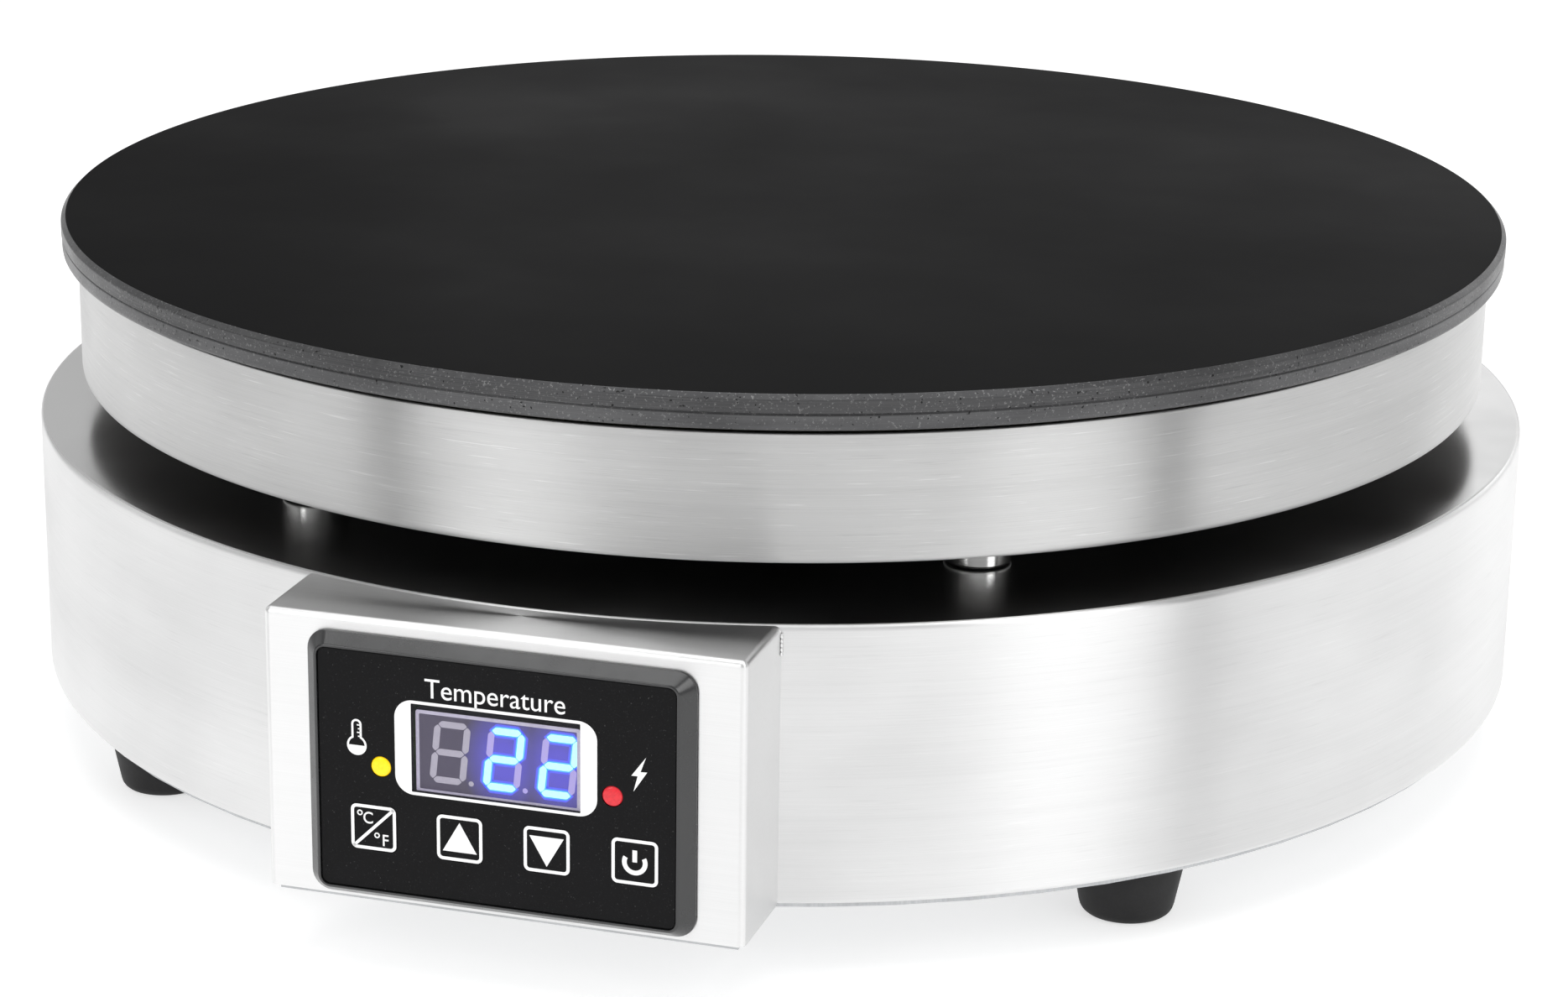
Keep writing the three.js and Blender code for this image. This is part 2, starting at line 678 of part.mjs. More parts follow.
function makeFootScrew(number, angle) {
  const headTop = FOOT_RECESS_DEPTH - FIT_GAP;
  const headBottom = headTop - FOOT_SCREW_HEAD_HEIGHT;
  const tail = housingBottom + BASE_SHEET + FOOT_SCREW_TAIL;
  const profile = [
    [0, headBottom],
    [FOOT_SCREW_HEAD_DIAMETER / 2 - 1, headBottom],
    [FOOT_SCREW_HEAD_DIAMETER / 2, headBottom + 1],
    [FOOT_SCREW_HEAD_DIAMETER / 2, headTop],
    [FOOT_SCREW_DIAMETER / 2, headTop],
    [FOOT_SCREW_DIAMETER / 2, tail],
    [0, tail],
  ];
  const [x, y] = aroundAxis(footRadius, angle);
  return placed(named(`foot_screw_${number}`, turned(profile, SMALL_CIRCLE), plainSteel()), x, y, 0);
}

// ---------- control panel, drawn with +Z towards the user and +Y up ----------

function keyX(index) {
  return KEY_ROW_SHIFT + (index - 1.5) * KEY_PITCH;
}

function lampX(side) {
  return side * (WINDOW_WIDTH / 2 + LAMP_SIDE_STEP);
}

function lampY() {
  return windowLevel - WINDOW_HEIGHT / 2 + LAMP_ABOVE_WINDOW_SILL;
}

function makeBezel() {
  const outer = roundedSlab(bezelWidth, bezelHeight, BEZEL_CORNER, 0, BEZEL_FLANGE);
  const slope = makeBezelSlope();
  const skirtBack = -BASE_SHEET - BEZEL_SKIRT_DEPTH;
  const skirt = roundedSlab(skirtWidth, skirtHeight, BEZEL_CORNER / 2, skirtBack, BEZEL_FLANGE);
  const pocket = roundedSlab(
    overlayWidth + 2 * FIT_GAP,
    overlayHeight + 2 * FIT_GAP,
    OVERLAY_CORNER,
    overlayBack - FIT_GAP,
    BEZEL_PROUD + 1,
  );
  const through = roundedSlab(
    overlayWidth - 2 * BEZEL_LEDGE,
    overlayHeight - 2 * BEZEL_LEDGE,
    OVERLAY_CORNER,
    -BASE_SHEET - BEZEL_SKIRT_DEPTH - 1,
    BEZEL_PROUD + 1,
  );
  const geometry = cut(join([outer, slope, skirt]), [pocket, through]);
  return placed(named('panel_bezel', geometry, darkPlastic()), 0, 0, FIT_GAP);
}

// The bezel's slanted sides: a slab whose front outline is drawn in on all four sides.
function makeBezelSlope() {
  const geometry = roundedSlab(bezelWidth, bezelHeight, BEZEL_CORNER, BEZEL_FLANGE, BEZEL_PROUD);
  const position = geometry.attributes.position;
  const sideShare = (bezelWidth - 2 * BEZEL_SIDE_SLOPE) / bezelWidth;
  const topShare = (bezelHeight - 2 * BEZEL_TOP_SLOPE) / bezelHeight;
  for (let index = 0; index < position.count; index += 1) {
    if (position.getZ(index) > BEZEL_FLANGE + 0.1) {
      position.setX(index, position.getX(index) * sideShare);
      position.setY(index, position.getY(index) * topShare);
    }
  }
  return geometry;
}

function makeOverlay() {
  const sheet = roundedSlab(overlayWidth, overlayHeight, OVERLAY_CORNER, overlayBack, overlayFront);
  const holeWidth = KEY_WIDTH + 2 * FIT_GAP;
  const holeHeight = KEY_HEIGHT + 2 * FIT_GAP;
  const cutters = KEY_NAMES.map((name, index) => moved(
    roundedSlab(holeWidth, holeHeight, KEY_CORNER, overlayBack - 1, overlayFront + 1),
    keyX(index),
    keyRowLevel,
    0,
  ));
  const windowHole = boxAt(
    WINDOW_WIDTH + 2 * FIT_GAP,
    WINDOW_HEIGHT + 2 * FIT_GAP,
    OVERLAY_THICKNESS + 2,
    0,
    windowLevel,
    overlayBack + OVERLAY_THICKNESS / 2,
  );
  cutters.push(windowHole);
  for (const side of [-1, 1]) {
    const hole = bar(LAMP_DIAMETER / 2 + FIT_GAP, overlayBack - 1, overlayFront + 1, SMALL_CIRCLE);
    cutters.push(moved(hole, lampX(side), lampY(), 0));
  }
  return placed(named('panel_overlay', cut(sheet, cutters), blackFilm()), 0, 0, FIT_GAP);
}

// Key cap with a lip behind the overlay and a stem that enters its switch.
function makeKey(name, index) {
  const cap = roundedSlab(KEY_WIDTH, KEY_HEIGHT, KEY_CORNER, overlayBack - FIT_GAP, overlayFront);
  const lipWidth = KEY_WIDTH + 2 * KEY_FLANGE;
  const lipHeight = KEY_HEIGHT + 2 * KEY_FLANGE;
  const lip = boxAt(lipWidth, lipHeight, 0.8, 0, 0, overlayBack - FIT_GAP - 0.4);
  const stemEnd = boardFront + SWITCH_FLOOR + KEY_TRAVEL + FIT_GAP;
  const stem = bar(KEY_STEM_DIAMETER / 2, stemEnd, overlayBack, SMALL_CIRCLE);
  const geometry = join([cap, lip, stem]);
  return placed(named(name, geometry, blackFilm()), keyX(index), keyRowLevel, FIT_GAP);
}

function makeDisplayWindow() {
  const geometry = boxAt(
    WINDOW_WIDTH,
    WINDOW_HEIGHT,
    OVERLAY_THICKNESS,
    0,
    0,
    overlayBack + OVERLAY_THICKNESS / 2,
  );
  return placed(named('display_window', geometry, smokedGlass()), 0, windowLevel, FIT_GAP);
}

function makeDisplayModule() {
  const back = boardFront + FIT_GAP;
  const front = overlayBack - DISPLAY_BEHIND_WINDOW;
  const geometry = boxAt(
    WINDOW_WIDTH - 2 * DISPLAY_SIDE_MARGIN,
    WINDOW_HEIGHT - 2 * DISPLAY_END_MARGIN,
    front - back,
    0,
    0,
    (front + back) / 2,
  );
  const level = windowLevel - DISPLAY_DROP;
  return placed(named('display_module', geometry, moulding(0x2c2c30)), 0, level, FIT_GAP);
}

function makeLamp(name, side, colour) {
  const geometry = bar(LAMP_DIAMETER / 2, boardFront + FIT_GAP, overlayFront, SMALL_CIRCLE);
  return placed(named(name, geometry, lampLens(colour)), lampX(side), lampY(), FIT_GAP);
}

function makeControlBoard() {
  const back = boardFront - BOARD_THICKNESS;
  const geometry = roundedSlab(skirtWidth, skirtHeight, BEZEL_CORNER / 2, back, boardFront);
  return placed(named('control_board', geometry, circuitBoard()), 0, 0, FIT_GAP);
}

function makeKeySwitch(number, index) {
  const body = boxAt(SWITCH_WIDTH, SWITCH_WIDTH, SWITCH_HEIGHT, 0, 0, SWITCH_HEIGHT / 2);
  const well = bar(KEY_STEM_DIAMETER / 2 + FIT_GAP, SWITCH_FLOOR, SWITCH_HEIGHT + 1, SMALL_CIRCLE);
  const mesh = named(`key_switch_${number}`, cut(body, [well]), moulding(0x26272a));
  return placed(mesh, keyX(index), keyRowLevel, boardFront + 2 * FIT_GAP);
}

function makePanel() {
  const panel = new THREE.Group();
  panel.add(makeBezel(), makeOverlay(), makeDisplayWindow(), makeDisplayModule(), makeControlBoard());
  panel.add(makeLamp('heat_lamp', -1, 0xf2c230), makeLamp('power_lamp', 1, 0xe04a2a));
  KEY_NAMES.forEach((name, index) => {
    panel.add(makeKey(name, index), makeKeySwitch(index + 1, index));
  });
  panel.rotation.x = Math.PI / 2;
  panel.position.set(0, -boxFront, housingBottom + panelLevel);
  return panel;
}

// ---------- power parts and cable gland ----------

function makePowerRelay() {
  const [width, depth, height] = RELAY_SIZE;
  const body = boxAt(width, depth, height, 0, 0, height / 2);
  const step = boxAt(width + 2, depth / 2, height / 2, 0, -depth / 2 + 2, height);
  const geometry = cut(body, [step]);
  const level = housingBottom + FIT_GAP;
  return placed(named('power_relay', geometry, moulding(0xd8d6cf)), ...RELAY_PLACE, level);
}

function makeTerminalBlock() {
  const [width, depth, height] = TERMINAL_SIZE;
  const body = boxAt(width, depth, height, 0, 0, height / 2);
  const pitch = width / TERMINAL_POLES;
  const wells = [];
  for (let pole = 0; pole < TERMINAL_POLES; pole += 1) {
    const x = (pole - (TERMINAL_POLES - 1) / 2) * pitch;
    wells.push(moved(bar(pitch / 3.5, height / 2, height + 1, SMALL_CIRCLE), x, 0, 0));
  }
  const level = housingBottom + FIT_GAP;
  return placed(named('terminal_block', cut(body, wells), moulding(0xe6e2d4)), ...TERMINAL_PLACE, level);
}

// Gland parts are drawn along +Z and laid along +Y, with z = 0 on the outside of the base's wall.
function makeGland() {
  const gland = new THREE.Group();
  const thread = GLAND_THREAD_DIAMETER / 2;
  const bore = GLAND_BORE / 2;
  const inside = -BASE_SHEET - GLAND_THREAD_INSIDE;
  const hexTop = GLAND_HEX_HEIGHT + 2 * FIT_GAP;
  const body = join([
    hexagon(GLAND_HEX_WIDTH, 2 * FIT_GAP, hexTop),
    bar(thread, inside, hexTop, MIDDLE_CIRCLE),
    bar(GLAND_NECK_DIAMETER / 2, 0, hexTop + GLAND_CAP_LENGTH / 2, MIDDLE_CIRCLE),
  ]);
  const hole = bar(bore, inside - 1, hexTop + GLAND_CAP_LENGTH, MIDDLE_CIRCLE);
  gland.add(named('gland_body', cut(body, [hole]), moulding(0x1d1d1f)));

  const capBottom = hexTop + FIT_GAP;
  const capTop = capBottom + GLAND_CAP_LENGTH;
  const cap = turned([
    [GLAND_NECK_DIAMETER / 2 + FIT_GAP, capBottom],
    [GLAND_CAP_DIAMETER / 2, capBottom],
    [GLAND_CAP_DIAMETER / 2, capTop - 5],
    [GLAND_CAP_MOUTH / 2 + 2, capTop],
    [bore, capTop],
    [bore, capTop - 4],
    [GLAND_NECK_DIAMETER / 2 + FIT_GAP, capTop - 4],
    [GLAND_NECK_DIAMETER / 2 + FIT_GAP, capBottom],
  ], MIDDLE_CIRCLE);
  gland.add(named('gland_cap', cap, moulding(0x1d1d1f)));

  const nutTop = -BASE_SHEET - 2 * FIT_GAP - wallSag();
  const nut = hexagon(LOCKNUT_WIDTH, nutTop - LOCKNUT_THICKNESS, nutTop);
  const nutBore = bar(thread + FIT_GAP, nutTop - LOCKNUT_THICKNESS - 1, nutTop + 1, MIDDLE_CIRCLE);
  gland.add(named('gland_locknut', cut(nut, [nutBore]), moulding(0x1d1d1f)));

  gland.rotation.x = -Math.PI / 2;
  gland.position.set(0, baseRadius, housingBottom + housingHeight / 2);
  return gland;
}

// How far the round wall falls back behind its outermost line over the locknut's width.
function wallSag() {
  const half = LOCKNUT_WIDTH / 2 / Math.cos(Math.PI / 6);
  const inner = baseRadius - BASE_SHEET;
  return inner - Math.sqrt(inner * inner - half * half);
}

// ---------- assembly ----------

function makeGriddle() {
  const griddle = new THREE.Group();
  const clamp = makeElementClamp();
  griddle.add(makeCookingPlate(), makeHeatingElement(), clamp, makeClampBolt(clamp));
  griddle.add(makeInsulation(), makeTemperatureProbe(), makeThermalCutout());
  griddle.add(makeDrumShell(), makeWireConduit(), makeBaseShell(), makeControlBox(), makeBottomCover());
  POST_ANGLES.forEach((angle, index) => {
    const number = index + 1;
    griddle.add(makeStandoffPost(number, angle), makePlateStud(number, angle));
    griddle.add(makeStudNut(number, angle), makeSpacerSleeve(number, angle));
  });
  FOOT_ANGLES.forEach((angle, index) => {
    griddle.add(makeFoot(index + 1, angle), makeFootScrew(index + 1, angle));
  });
  griddle.add(makePanel(), makePowerRelay(), makeTerminalBlock(), makeGland());
  return griddle;
}

export default makeGriddle();
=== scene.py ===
"""Looks of a round electric griddle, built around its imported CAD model. Lengths are in metres."""
import math

import bmesh
import bpy
from mathutils import Matrix, Vector


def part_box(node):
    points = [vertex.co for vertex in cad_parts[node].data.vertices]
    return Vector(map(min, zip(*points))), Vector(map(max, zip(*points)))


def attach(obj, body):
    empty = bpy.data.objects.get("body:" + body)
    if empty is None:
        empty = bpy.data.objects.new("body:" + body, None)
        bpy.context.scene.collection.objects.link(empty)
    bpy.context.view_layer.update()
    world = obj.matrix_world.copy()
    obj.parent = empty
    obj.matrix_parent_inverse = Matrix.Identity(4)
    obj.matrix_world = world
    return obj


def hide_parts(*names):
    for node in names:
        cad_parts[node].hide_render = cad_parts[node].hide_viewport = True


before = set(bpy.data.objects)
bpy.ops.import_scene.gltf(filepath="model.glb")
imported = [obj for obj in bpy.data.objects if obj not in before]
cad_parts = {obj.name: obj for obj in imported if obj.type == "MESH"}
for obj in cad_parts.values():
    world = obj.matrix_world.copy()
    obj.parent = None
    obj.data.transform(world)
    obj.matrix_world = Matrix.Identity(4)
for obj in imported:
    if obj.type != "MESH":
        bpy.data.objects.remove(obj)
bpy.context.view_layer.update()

MM = 0.001
BODY = "housing"
ROUND_SIDES = 288
SMALL_SIDES = 64

# ---------- sizes read from the frame ----------

plate_low, plate_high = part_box("cooking_plate")
drum_low, drum_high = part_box("drum_shell")
base_low, base_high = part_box("base_shell")
front_low, front_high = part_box("control_box")
bezel_low, bezel_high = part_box("panel_bezel")
film_low, film_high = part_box("panel_overlay")
window_low, window_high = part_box("display_window")
module_low, module_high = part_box("display_module")

PLATE_RADIUS = plate_high.x
DRUM_RADIUS = drum_high.x
BASE_RADIUS = base_high.x
PANEL_FRONT = film_low.y
PANEL_MIDDLE = (film_low.z + film_high.z) / 2
PLATE_RIM = 8.9 * MM
CAMERA_AZIMUTH = 16.65
CAMERA_ELEVATION = 13.46
CAMERA_DISTANCE = 1124.18 * MM
CAMERA_TURN = (0.06, -4.27, 0.82)  # yaw, pitch and roll away from the plate's middle, in degrees
CAMERA_LENS = 91.69
STUD_HOLE = 4.5 * MM
SHEET = 1.2 * MM

# Panel pieces are drawn with x to the right, y up and z = 0 on the film's face, towards the user.
PANEL = Matrix.Translation((0, PANEL_FRONT, PANEL_MIDDLE)) @ Matrix.Rotation(math.pi / 2, 4, "X")


def panel_centre(low, high):
    """Middle of a CAD node in panel coordinates."""
    return (low.x + high.x) / 2, (low.z + high.z) / 2 - PANEL_MIDDLE


def half_size(low, high):
    """Half width and half height of a CAD node, as seen from the front."""
    return (high.x - low.x) / 2, (high.z - low.z) / 2


# ---------- materials ----------

class Surface:
    """A Principled material and short ways to add procedural detail to it."""

    def __init__(self, name, colour, roughness, metallic=0.0, **sockets):
        self.material = bpy.data.materials.new(name)
        self.material.use_nodes = True
        self.nodes = self.material.node_tree.nodes
        self.links = self.material.node_tree.links
        self.shader = self.nodes["Principled BSDF"]
        self.colour = (*colour, 1.0)
        self.roughness = roughness
        self.shader.inputs["Base Color"].default_value = self.colour
        self.shader.inputs["Roughness"].default_value = roughness
        self.shader.inputs["Metallic"].default_value = metallic
        for socket, value in sockets.items():
            self.shader.inputs[socket.replace("_", " ")].default_value = value
        self.colour_out = None
        self.rough_out = None
        self.normal_out = None

    def node(self, kind, **settings):
        node = self.nodes.new(kind)
        for key, value in settings.items():
            setattr(node, key, value)
        return node

    def link(self, output, target):
        self.links.new(output, target)

    def place(self, scale):
        """Object coordinates in metres, times a scale for each axis."""
        coordinates = self.node("ShaderNodeTexCoord")
        mapping = self.node("ShaderNodeMapping")
        mapping.inputs["Scale"].default_value = scale
        self.link(coordinates.outputs["Object"], mapping.inputs["Vector"])
        return mapping.outputs["Vector"]

    def turned(self, along, across):
        """Coordinates drawn out round the Z axis, for brushing that runs round a turned part."""
        coordinates = self.node("ShaderNodeTexCoord")
        parts = self.node("ShaderNodeSeparateXYZ")
        self.link(coordinates.outputs["Object"], parts.inputs[0])
        flat = self.node("ShaderNodeVectorMath", operation="MULTIPLY")
        flat.inputs[1].default_value = (1, 1, 0)
        self.link(coordinates.outputs["Object"], flat.inputs[0])
        length = self.node("ShaderNodeVectorMath", operation="LENGTH")
        self.link(flat.outputs[0], length.inputs[0])
        total = self.node("ShaderNodeMath", operation="ADD")
        self.link(length.outputs["Value"], total.inputs[0])
        self.link(parts.outputs["Z"], total.inputs[1])
        joined = self.node("ShaderNodeCombineXYZ")
        self.link(parts.outputs["X"], joined.inputs[0])
        self.link(parts.outputs["Y"], joined.inputs[1])
        self.link(total.outputs[0], joined.inputs[2])
        mapping = self.node("ShaderNodeMapping")
        mapping.inputs["Scale"].default_value = (along, along, across)
        self.link(joined.outputs[0], mapping.inputs["Vector"])
        return mapping.outputs["Vector"]

    def noise(self, vector, scale=1.0, detail=3.0, roughness=0.55):
        texture = self.node("ShaderNodeTexNoise")
        texture.inputs["Scale"].default_value = scale
        texture.inputs["Detail"].default_value = detail
        texture.inputs["Roughness"].default_value = roughness
        self.link(vector, texture.inputs["Vector"])
        return texture.outputs["Fac"]

    def grain(self, scale, detail, roughness):
        """Even noise through the part, with a scale in cells per metre."""
        return self.noise(self.place((1, 1, 1)), scale, detail, roughness)

    def between(self, value, low, high, to_low=0.0, to_high=1.0):
        """Stretches part of a value's range to another range, and clamps it."""
        node = self.node("ShaderNodeMapRange")
        node.inputs["From Min"].default_value = low
        node.inputs["From Max"].default_value = high
        node.inputs["To Min"].default_value = to_low
        node.inputs["To Max"].default_value = to_high
        self.link(value, node.inputs["Value"])
        return node.outputs["Result"]

    def height(self):
        coordinates = self.node("ShaderNodeTexCoord")
        parts = self.node("ShaderNodeSeparateXYZ")
        self.link(coordinates.outputs["Object"], parts.inputs[0])
        return parts.outputs["Z"]

    def tint(self, factor, colour):
        """Mixes another colour into the base colour where factor is 1."""
        node = self.node("ShaderNodeMix", data_type="RGBA")
        if self.colour_out is None:
            node.inputs["A"].default_value = self.colour
        else:
            self.link(self.colour_out, node.inputs["A"])
        node.inputs["B"].default_value = (*colour, 1.0)
        self.link(factor, node.inputs["Factor"])
        self.colour_out = node.outputs["Result"]
        self.link(self.colour_out, self.shader.inputs["Base Color"])
        return self

    def shade(self, value, low, high, amount, colour):
        """Mixes in up to amount of another colour as a value goes from low to high."""
        return self.tint(self.between(value, low, high, 0.0, amount), colour)

    def rough(self, value, low, high):
        """Roughness from low to high over the middle of a noise's range."""
        self.link(self.between(value, 0.3, 0.7, low, high), self.shader.inputs["Roughness"])
        return self

    def bump(self, value, distance, strength=1.0):
        node = self.node("ShaderNodeBump")
        node.inputs["Distance"].default_value = distance
        node.inputs["Strength"].default_value = strength
        self.link(value, node.inputs["Height"])
        if self.normal_out is not None:
            self.link(self.normal_out, node.inputs["Normal"])
        self.normal_out = node.outputs["Normal"]
        self.link(self.normal_out, self.shader.inputs["Normal"])
        return self

    def brushed_round(self, anisotropy):
        """Reflections spread across brush lines that run round the Z axis."""
        self.shader.inputs["Anisotropic"].default_value = anisotropy
        self.shader.inputs["Anisotropic Rotation"].default_value = 0.25
        tangent = self.node("ShaderNodeTangent", direction_type="RADIAL", axis="Z")
        self.link(tangent.outputs[0], self.shader.inputs["Tangent"])
        return self


def make_brushed_steel(name, colour, dark, roughness, anisotropy):
    steel = Surface(name, colour, roughness, 1.0)
    fine = steel.noise(steel.turned(14, 9000), 1.0, 4.0, 0.65)
    broad = steel.noise(steel.turned(3.5, 700), 1.0, 3.0, 0.5)
    smudge = steel.noise(steel.place((9, 9, 16)), 1.0, 3.0, 0.6)
    scratches = steel.noise(steel.turned(60, 2600), 1.0, 3.0, 0.6)
    steel.shade(fine, 0.35, 0.8, 0.5, dark)
    steel.shade(broad, 0.45, 0.75, 0.2, dark)
    steel.shade(scratches, 0.62, 0.7, 0.5, dark)
    steel.shade(scratches, 0.38, 0.3, 0.3, (0.95, 0.95, 0.95))
    steel.rough(smudge, roughness - 0.05, roughness + 0.07)
    steel.bump(fine, 0.00003, 0.35)
    return steel.brushed_round(anisotropy)


def make_sheet_top():
    """Smooth cold-rolled top of the base, which mirrors the gap under the drum."""
    steel = Surface("smooth sheet", (0.86, 0.86, 0.86), 0.2, 1.0)
    smudge = steel.noise(steel.place((16, 16, 16)), 1.0, 4.0, 0.6)
    scratches = steel.noise(steel.place((30, 900, 30)), 1.0, 3.0, 0.6)
    steel.shade(smudge, 0.45, 0.75, 0.4, (0.74, 0.74, 0.74))
    steel.rough(smudge, 0.16, 0.26)
    return steel.bump(scratches, 0.00001, 0.15)


def make_drum_underside_painted_shade():
    """Underside of the drum: painted shade, a near-black colour standing in for the shade in the gap under
    the drum.
    """
    steel = Surface("drum underside painted shade", (0.035, 0.032, 0.03), 0.6, 1.0)
    cloud = steel.noise(steel.place((22, 22, 22)), 1.0, 4.0, 0.6)
    steel.shade(cloud, 0.4, 0.7, 0.6, (0.06, 0.052, 0.047))
    return steel.rough(cloud, 0.5, 0.7)


def make_box_steel():
    """Sheet brushed from side to side."""
    steel = Surface("box steel", (0.84, 0.84, 0.84), 0.36, 1.0)
    fine = steel.noise(steel.place((22, 9000, 9000)), 1.0, 4.0, 0.65)
    broad = steel.noise(steel.place((5, 900, 900)), 1.0, 3.0, 0.5)
    smudge = steel.noise(steel.place((14, 14, 14)), 1.0, 3.0, 0.6)
    steel.shade(fine, 0.35, 0.8, 0.35, (0.7, 0.7, 0.7))
    steel.shade(broad, 0.45, 0.75, 0.1, (0.7, 0.7, 0.7))
    steel.rough(smudge, 0.32, 0.42)
    steel.bump(fine, 0.00003, 0.3)
    return steel.brushed_round(0.75)


def make_plate_top():
    """Seasoned, fine-ground iron: nearly black with a soft dull gloss."""
    iron = Surface("seasoned iron", (0.0125, 0.0125, 0.013), 0.4, 1.0)
    iron.shader.inputs["Specular Tint"].default_value = (0.5, 0.5, 0.5, 1.0)
    rings = iron.noise(iron.turned(10, 2600), 1.0, 3.0, 0.6)
    cloud = iron.noise(iron.place((7, 7, 7)), 1.0, 4.0, 0.55)
    grit = iron.grain(2600.0, 2.0, 0.6)
    iron.shade(cloud, 0.4, 0.7, 0.6, (0.019, 0.019, 0.0195))
    iron.shade(grit, 0.62, 0.72, 0.5, (0.03, 0.03, 0.031))
    iron.rough(cloud, 0.38, 0.5)
    iron.bump(rings, 0.00001, 0.12)
    iron.bump(grit, 0.00002, 0.15)
    return iron


def make_plate_rim():
    """Turned iron edge: dark above the line and a little lighter below it, with grains and pits."""
    iron = Surface("turned iron edge", (0.068, 0.068, 0.07), 0.42, 0.85)
    line_level = plate_high.z - 4.8 * MM
    lower = iron.between(iron.height(), line_level - 0.3 * MM, line_level + 0.2 * MM, 1.0, 0.0)
    lines = iron.noise(iron.turned(22, 11000), 1.0, 3.0, 0.6)
    cloud = iron.noise(iron.place((30, 30, 120)), 1.0, 3.0, 0.6)
    grit = iron.grain(1500.0, 2.0, 0.6)
    pits = iron.grain(900.0, 1.0, 0.5)
    iron.tint(lower, (0.105, 0.105, 0.108))
    iron.shade(lines, 0.4, 0.75, 0.6, (0.16, 0.16, 0.162))
    iron.shade(cloud, 0.5, 0.7, 0.35, (0.05, 0.05, 0.052))
    iron.shade(grit, 0.6, 0.68, 0.7, (0.24, 0.24, 0.24))
    iron.shade(pits, 0.7, 0.74, 0.9, (0.01, 0.01, 0.01))
    iron.rough(cloud, 0.36, 0.5)
    iron.bump(lines, 0.00003, 0.4)
    iron.bump(grit, 0.00004, 0.35)
    return iron.brushed_round(0.6)


def make_polished_steel():
    steel = Surface("turned steel", (0.72, 0.72, 0.71), 0.16, 1.0)
    rings = steel.noise(steel.place((60, 60, 5200)), 1.0, 2.0, 0.5)
    steel.shade(rings, 0.4, 0.7, 0.4, (0.45, 0.45, 0.45))
    steel.rough(rings, 0.12, 0.24)
    return steel


def make_zinc():
    steel = Surface("zinc plated steel", (0.5, 0.51, 0.52), 0.38, 1.0)
    cloud = steel.grain(180.0, 4.0, 0.6)
    steel.shade(cloud, 0.4, 0.7, 0.6, (0.36, 0.37, 0.39))
    steel.rough(cloud, 0.3, 0.5)
    return steel.bump(cloud, 0.00003, 0.3)


def make_galvanised_sheet():
    steel = Surface("bottom sheet", (0.55, 0.56, 0.57), 0.4, 1.0)
    lines = steel.noise(steel.place((20, 3200, 10)), 1.0, 3.0, 0.6)
    cloud = steel.noise(steel.place((30, 30, 30)), 1.0, 4.0, 0.6)
    steel.shade(lines, 0.4, 0.7, 0.45, (0.38, 0.39, 0.4))
    steel.shade(cloud, 0.45, 0.7, 0.3, (0.3, 0.31, 0.32))
    steel.rough(cloud, 0.34, 0.5)
    return steel.bump(lines, 0.00002, 0.3)


def make_moulding(name, colour, roughness, grain=2200.0, depth=0.00003, lighter=1.35):
    """Moulded plastic or rubber with a fine spark-eroded grain."""
    plastic = Surface(name, colour, roughness)
    grit = plastic.grain(grain, 3.0, 0.6)
    cloud = plastic.grain(90.0, 3.0, 0.6)
    brighter = tuple(min(1.0, part * lighter) for part in colour)
    plastic.shade(grit, 0.45, 0.7, 0.7, brighter)
    plastic.rough(cloud, roughness - 0.06, roughness + 0.08)
    return plastic.bump(grit, depth, 0.5)


def make_film():
    """Black printed film with a painted sparkle: sparse light grey dots in its grain."""
    film = Surface("black film", (0.007, 0.007, 0.0075), 0.46)
    film.shader.inputs["Specular IOR Level"].default_value = 0.1
    grain = film.grain(2600.0, 2.0, 0.6)
    cloud = film.grain(60.0, 3.0, 0.5)
    painted_sparkle_dots = film.grain(2000.0, 1.0, 0.5)
    film.shade(cloud, 0.45, 0.7, 0.5, (0.01, 0.01, 0.011))
    film.shade(grain, 0.6, 0.7, 0.5, (0.022, 0.022, 0.023))
    # Painted glints: sparse light grey dots stand in for the film's sparkle.
    film.shade(painted_sparkle_dots, 0.74, 0.77, 0.6, (0.09, 0.09, 0.09))
    film.rough(cloud, 0.44, 0.56)
    return film.bump(grain, 0.00002, 0.35)


def make_print_with_painted_glow():
    ink = Surface("white print", (0.9, 0.9, 0.9), 0.45)
    grain = ink.grain(2600.0, 2.0, 0.6)
    ink.shade(grain, 0.5, 0.7, 0.3, (0.78, 0.78, 0.78))
    # Painted glow: a weak white emission lifts the print as if it were more brightly lit.
    ink.shader.inputs["Emission Color"].default_value = (1, 1, 1, 1)
    ink.shader.inputs["Emission Strength"].default_value = 0.12
    return ink.bump(grain, 0.00001, 0.3)


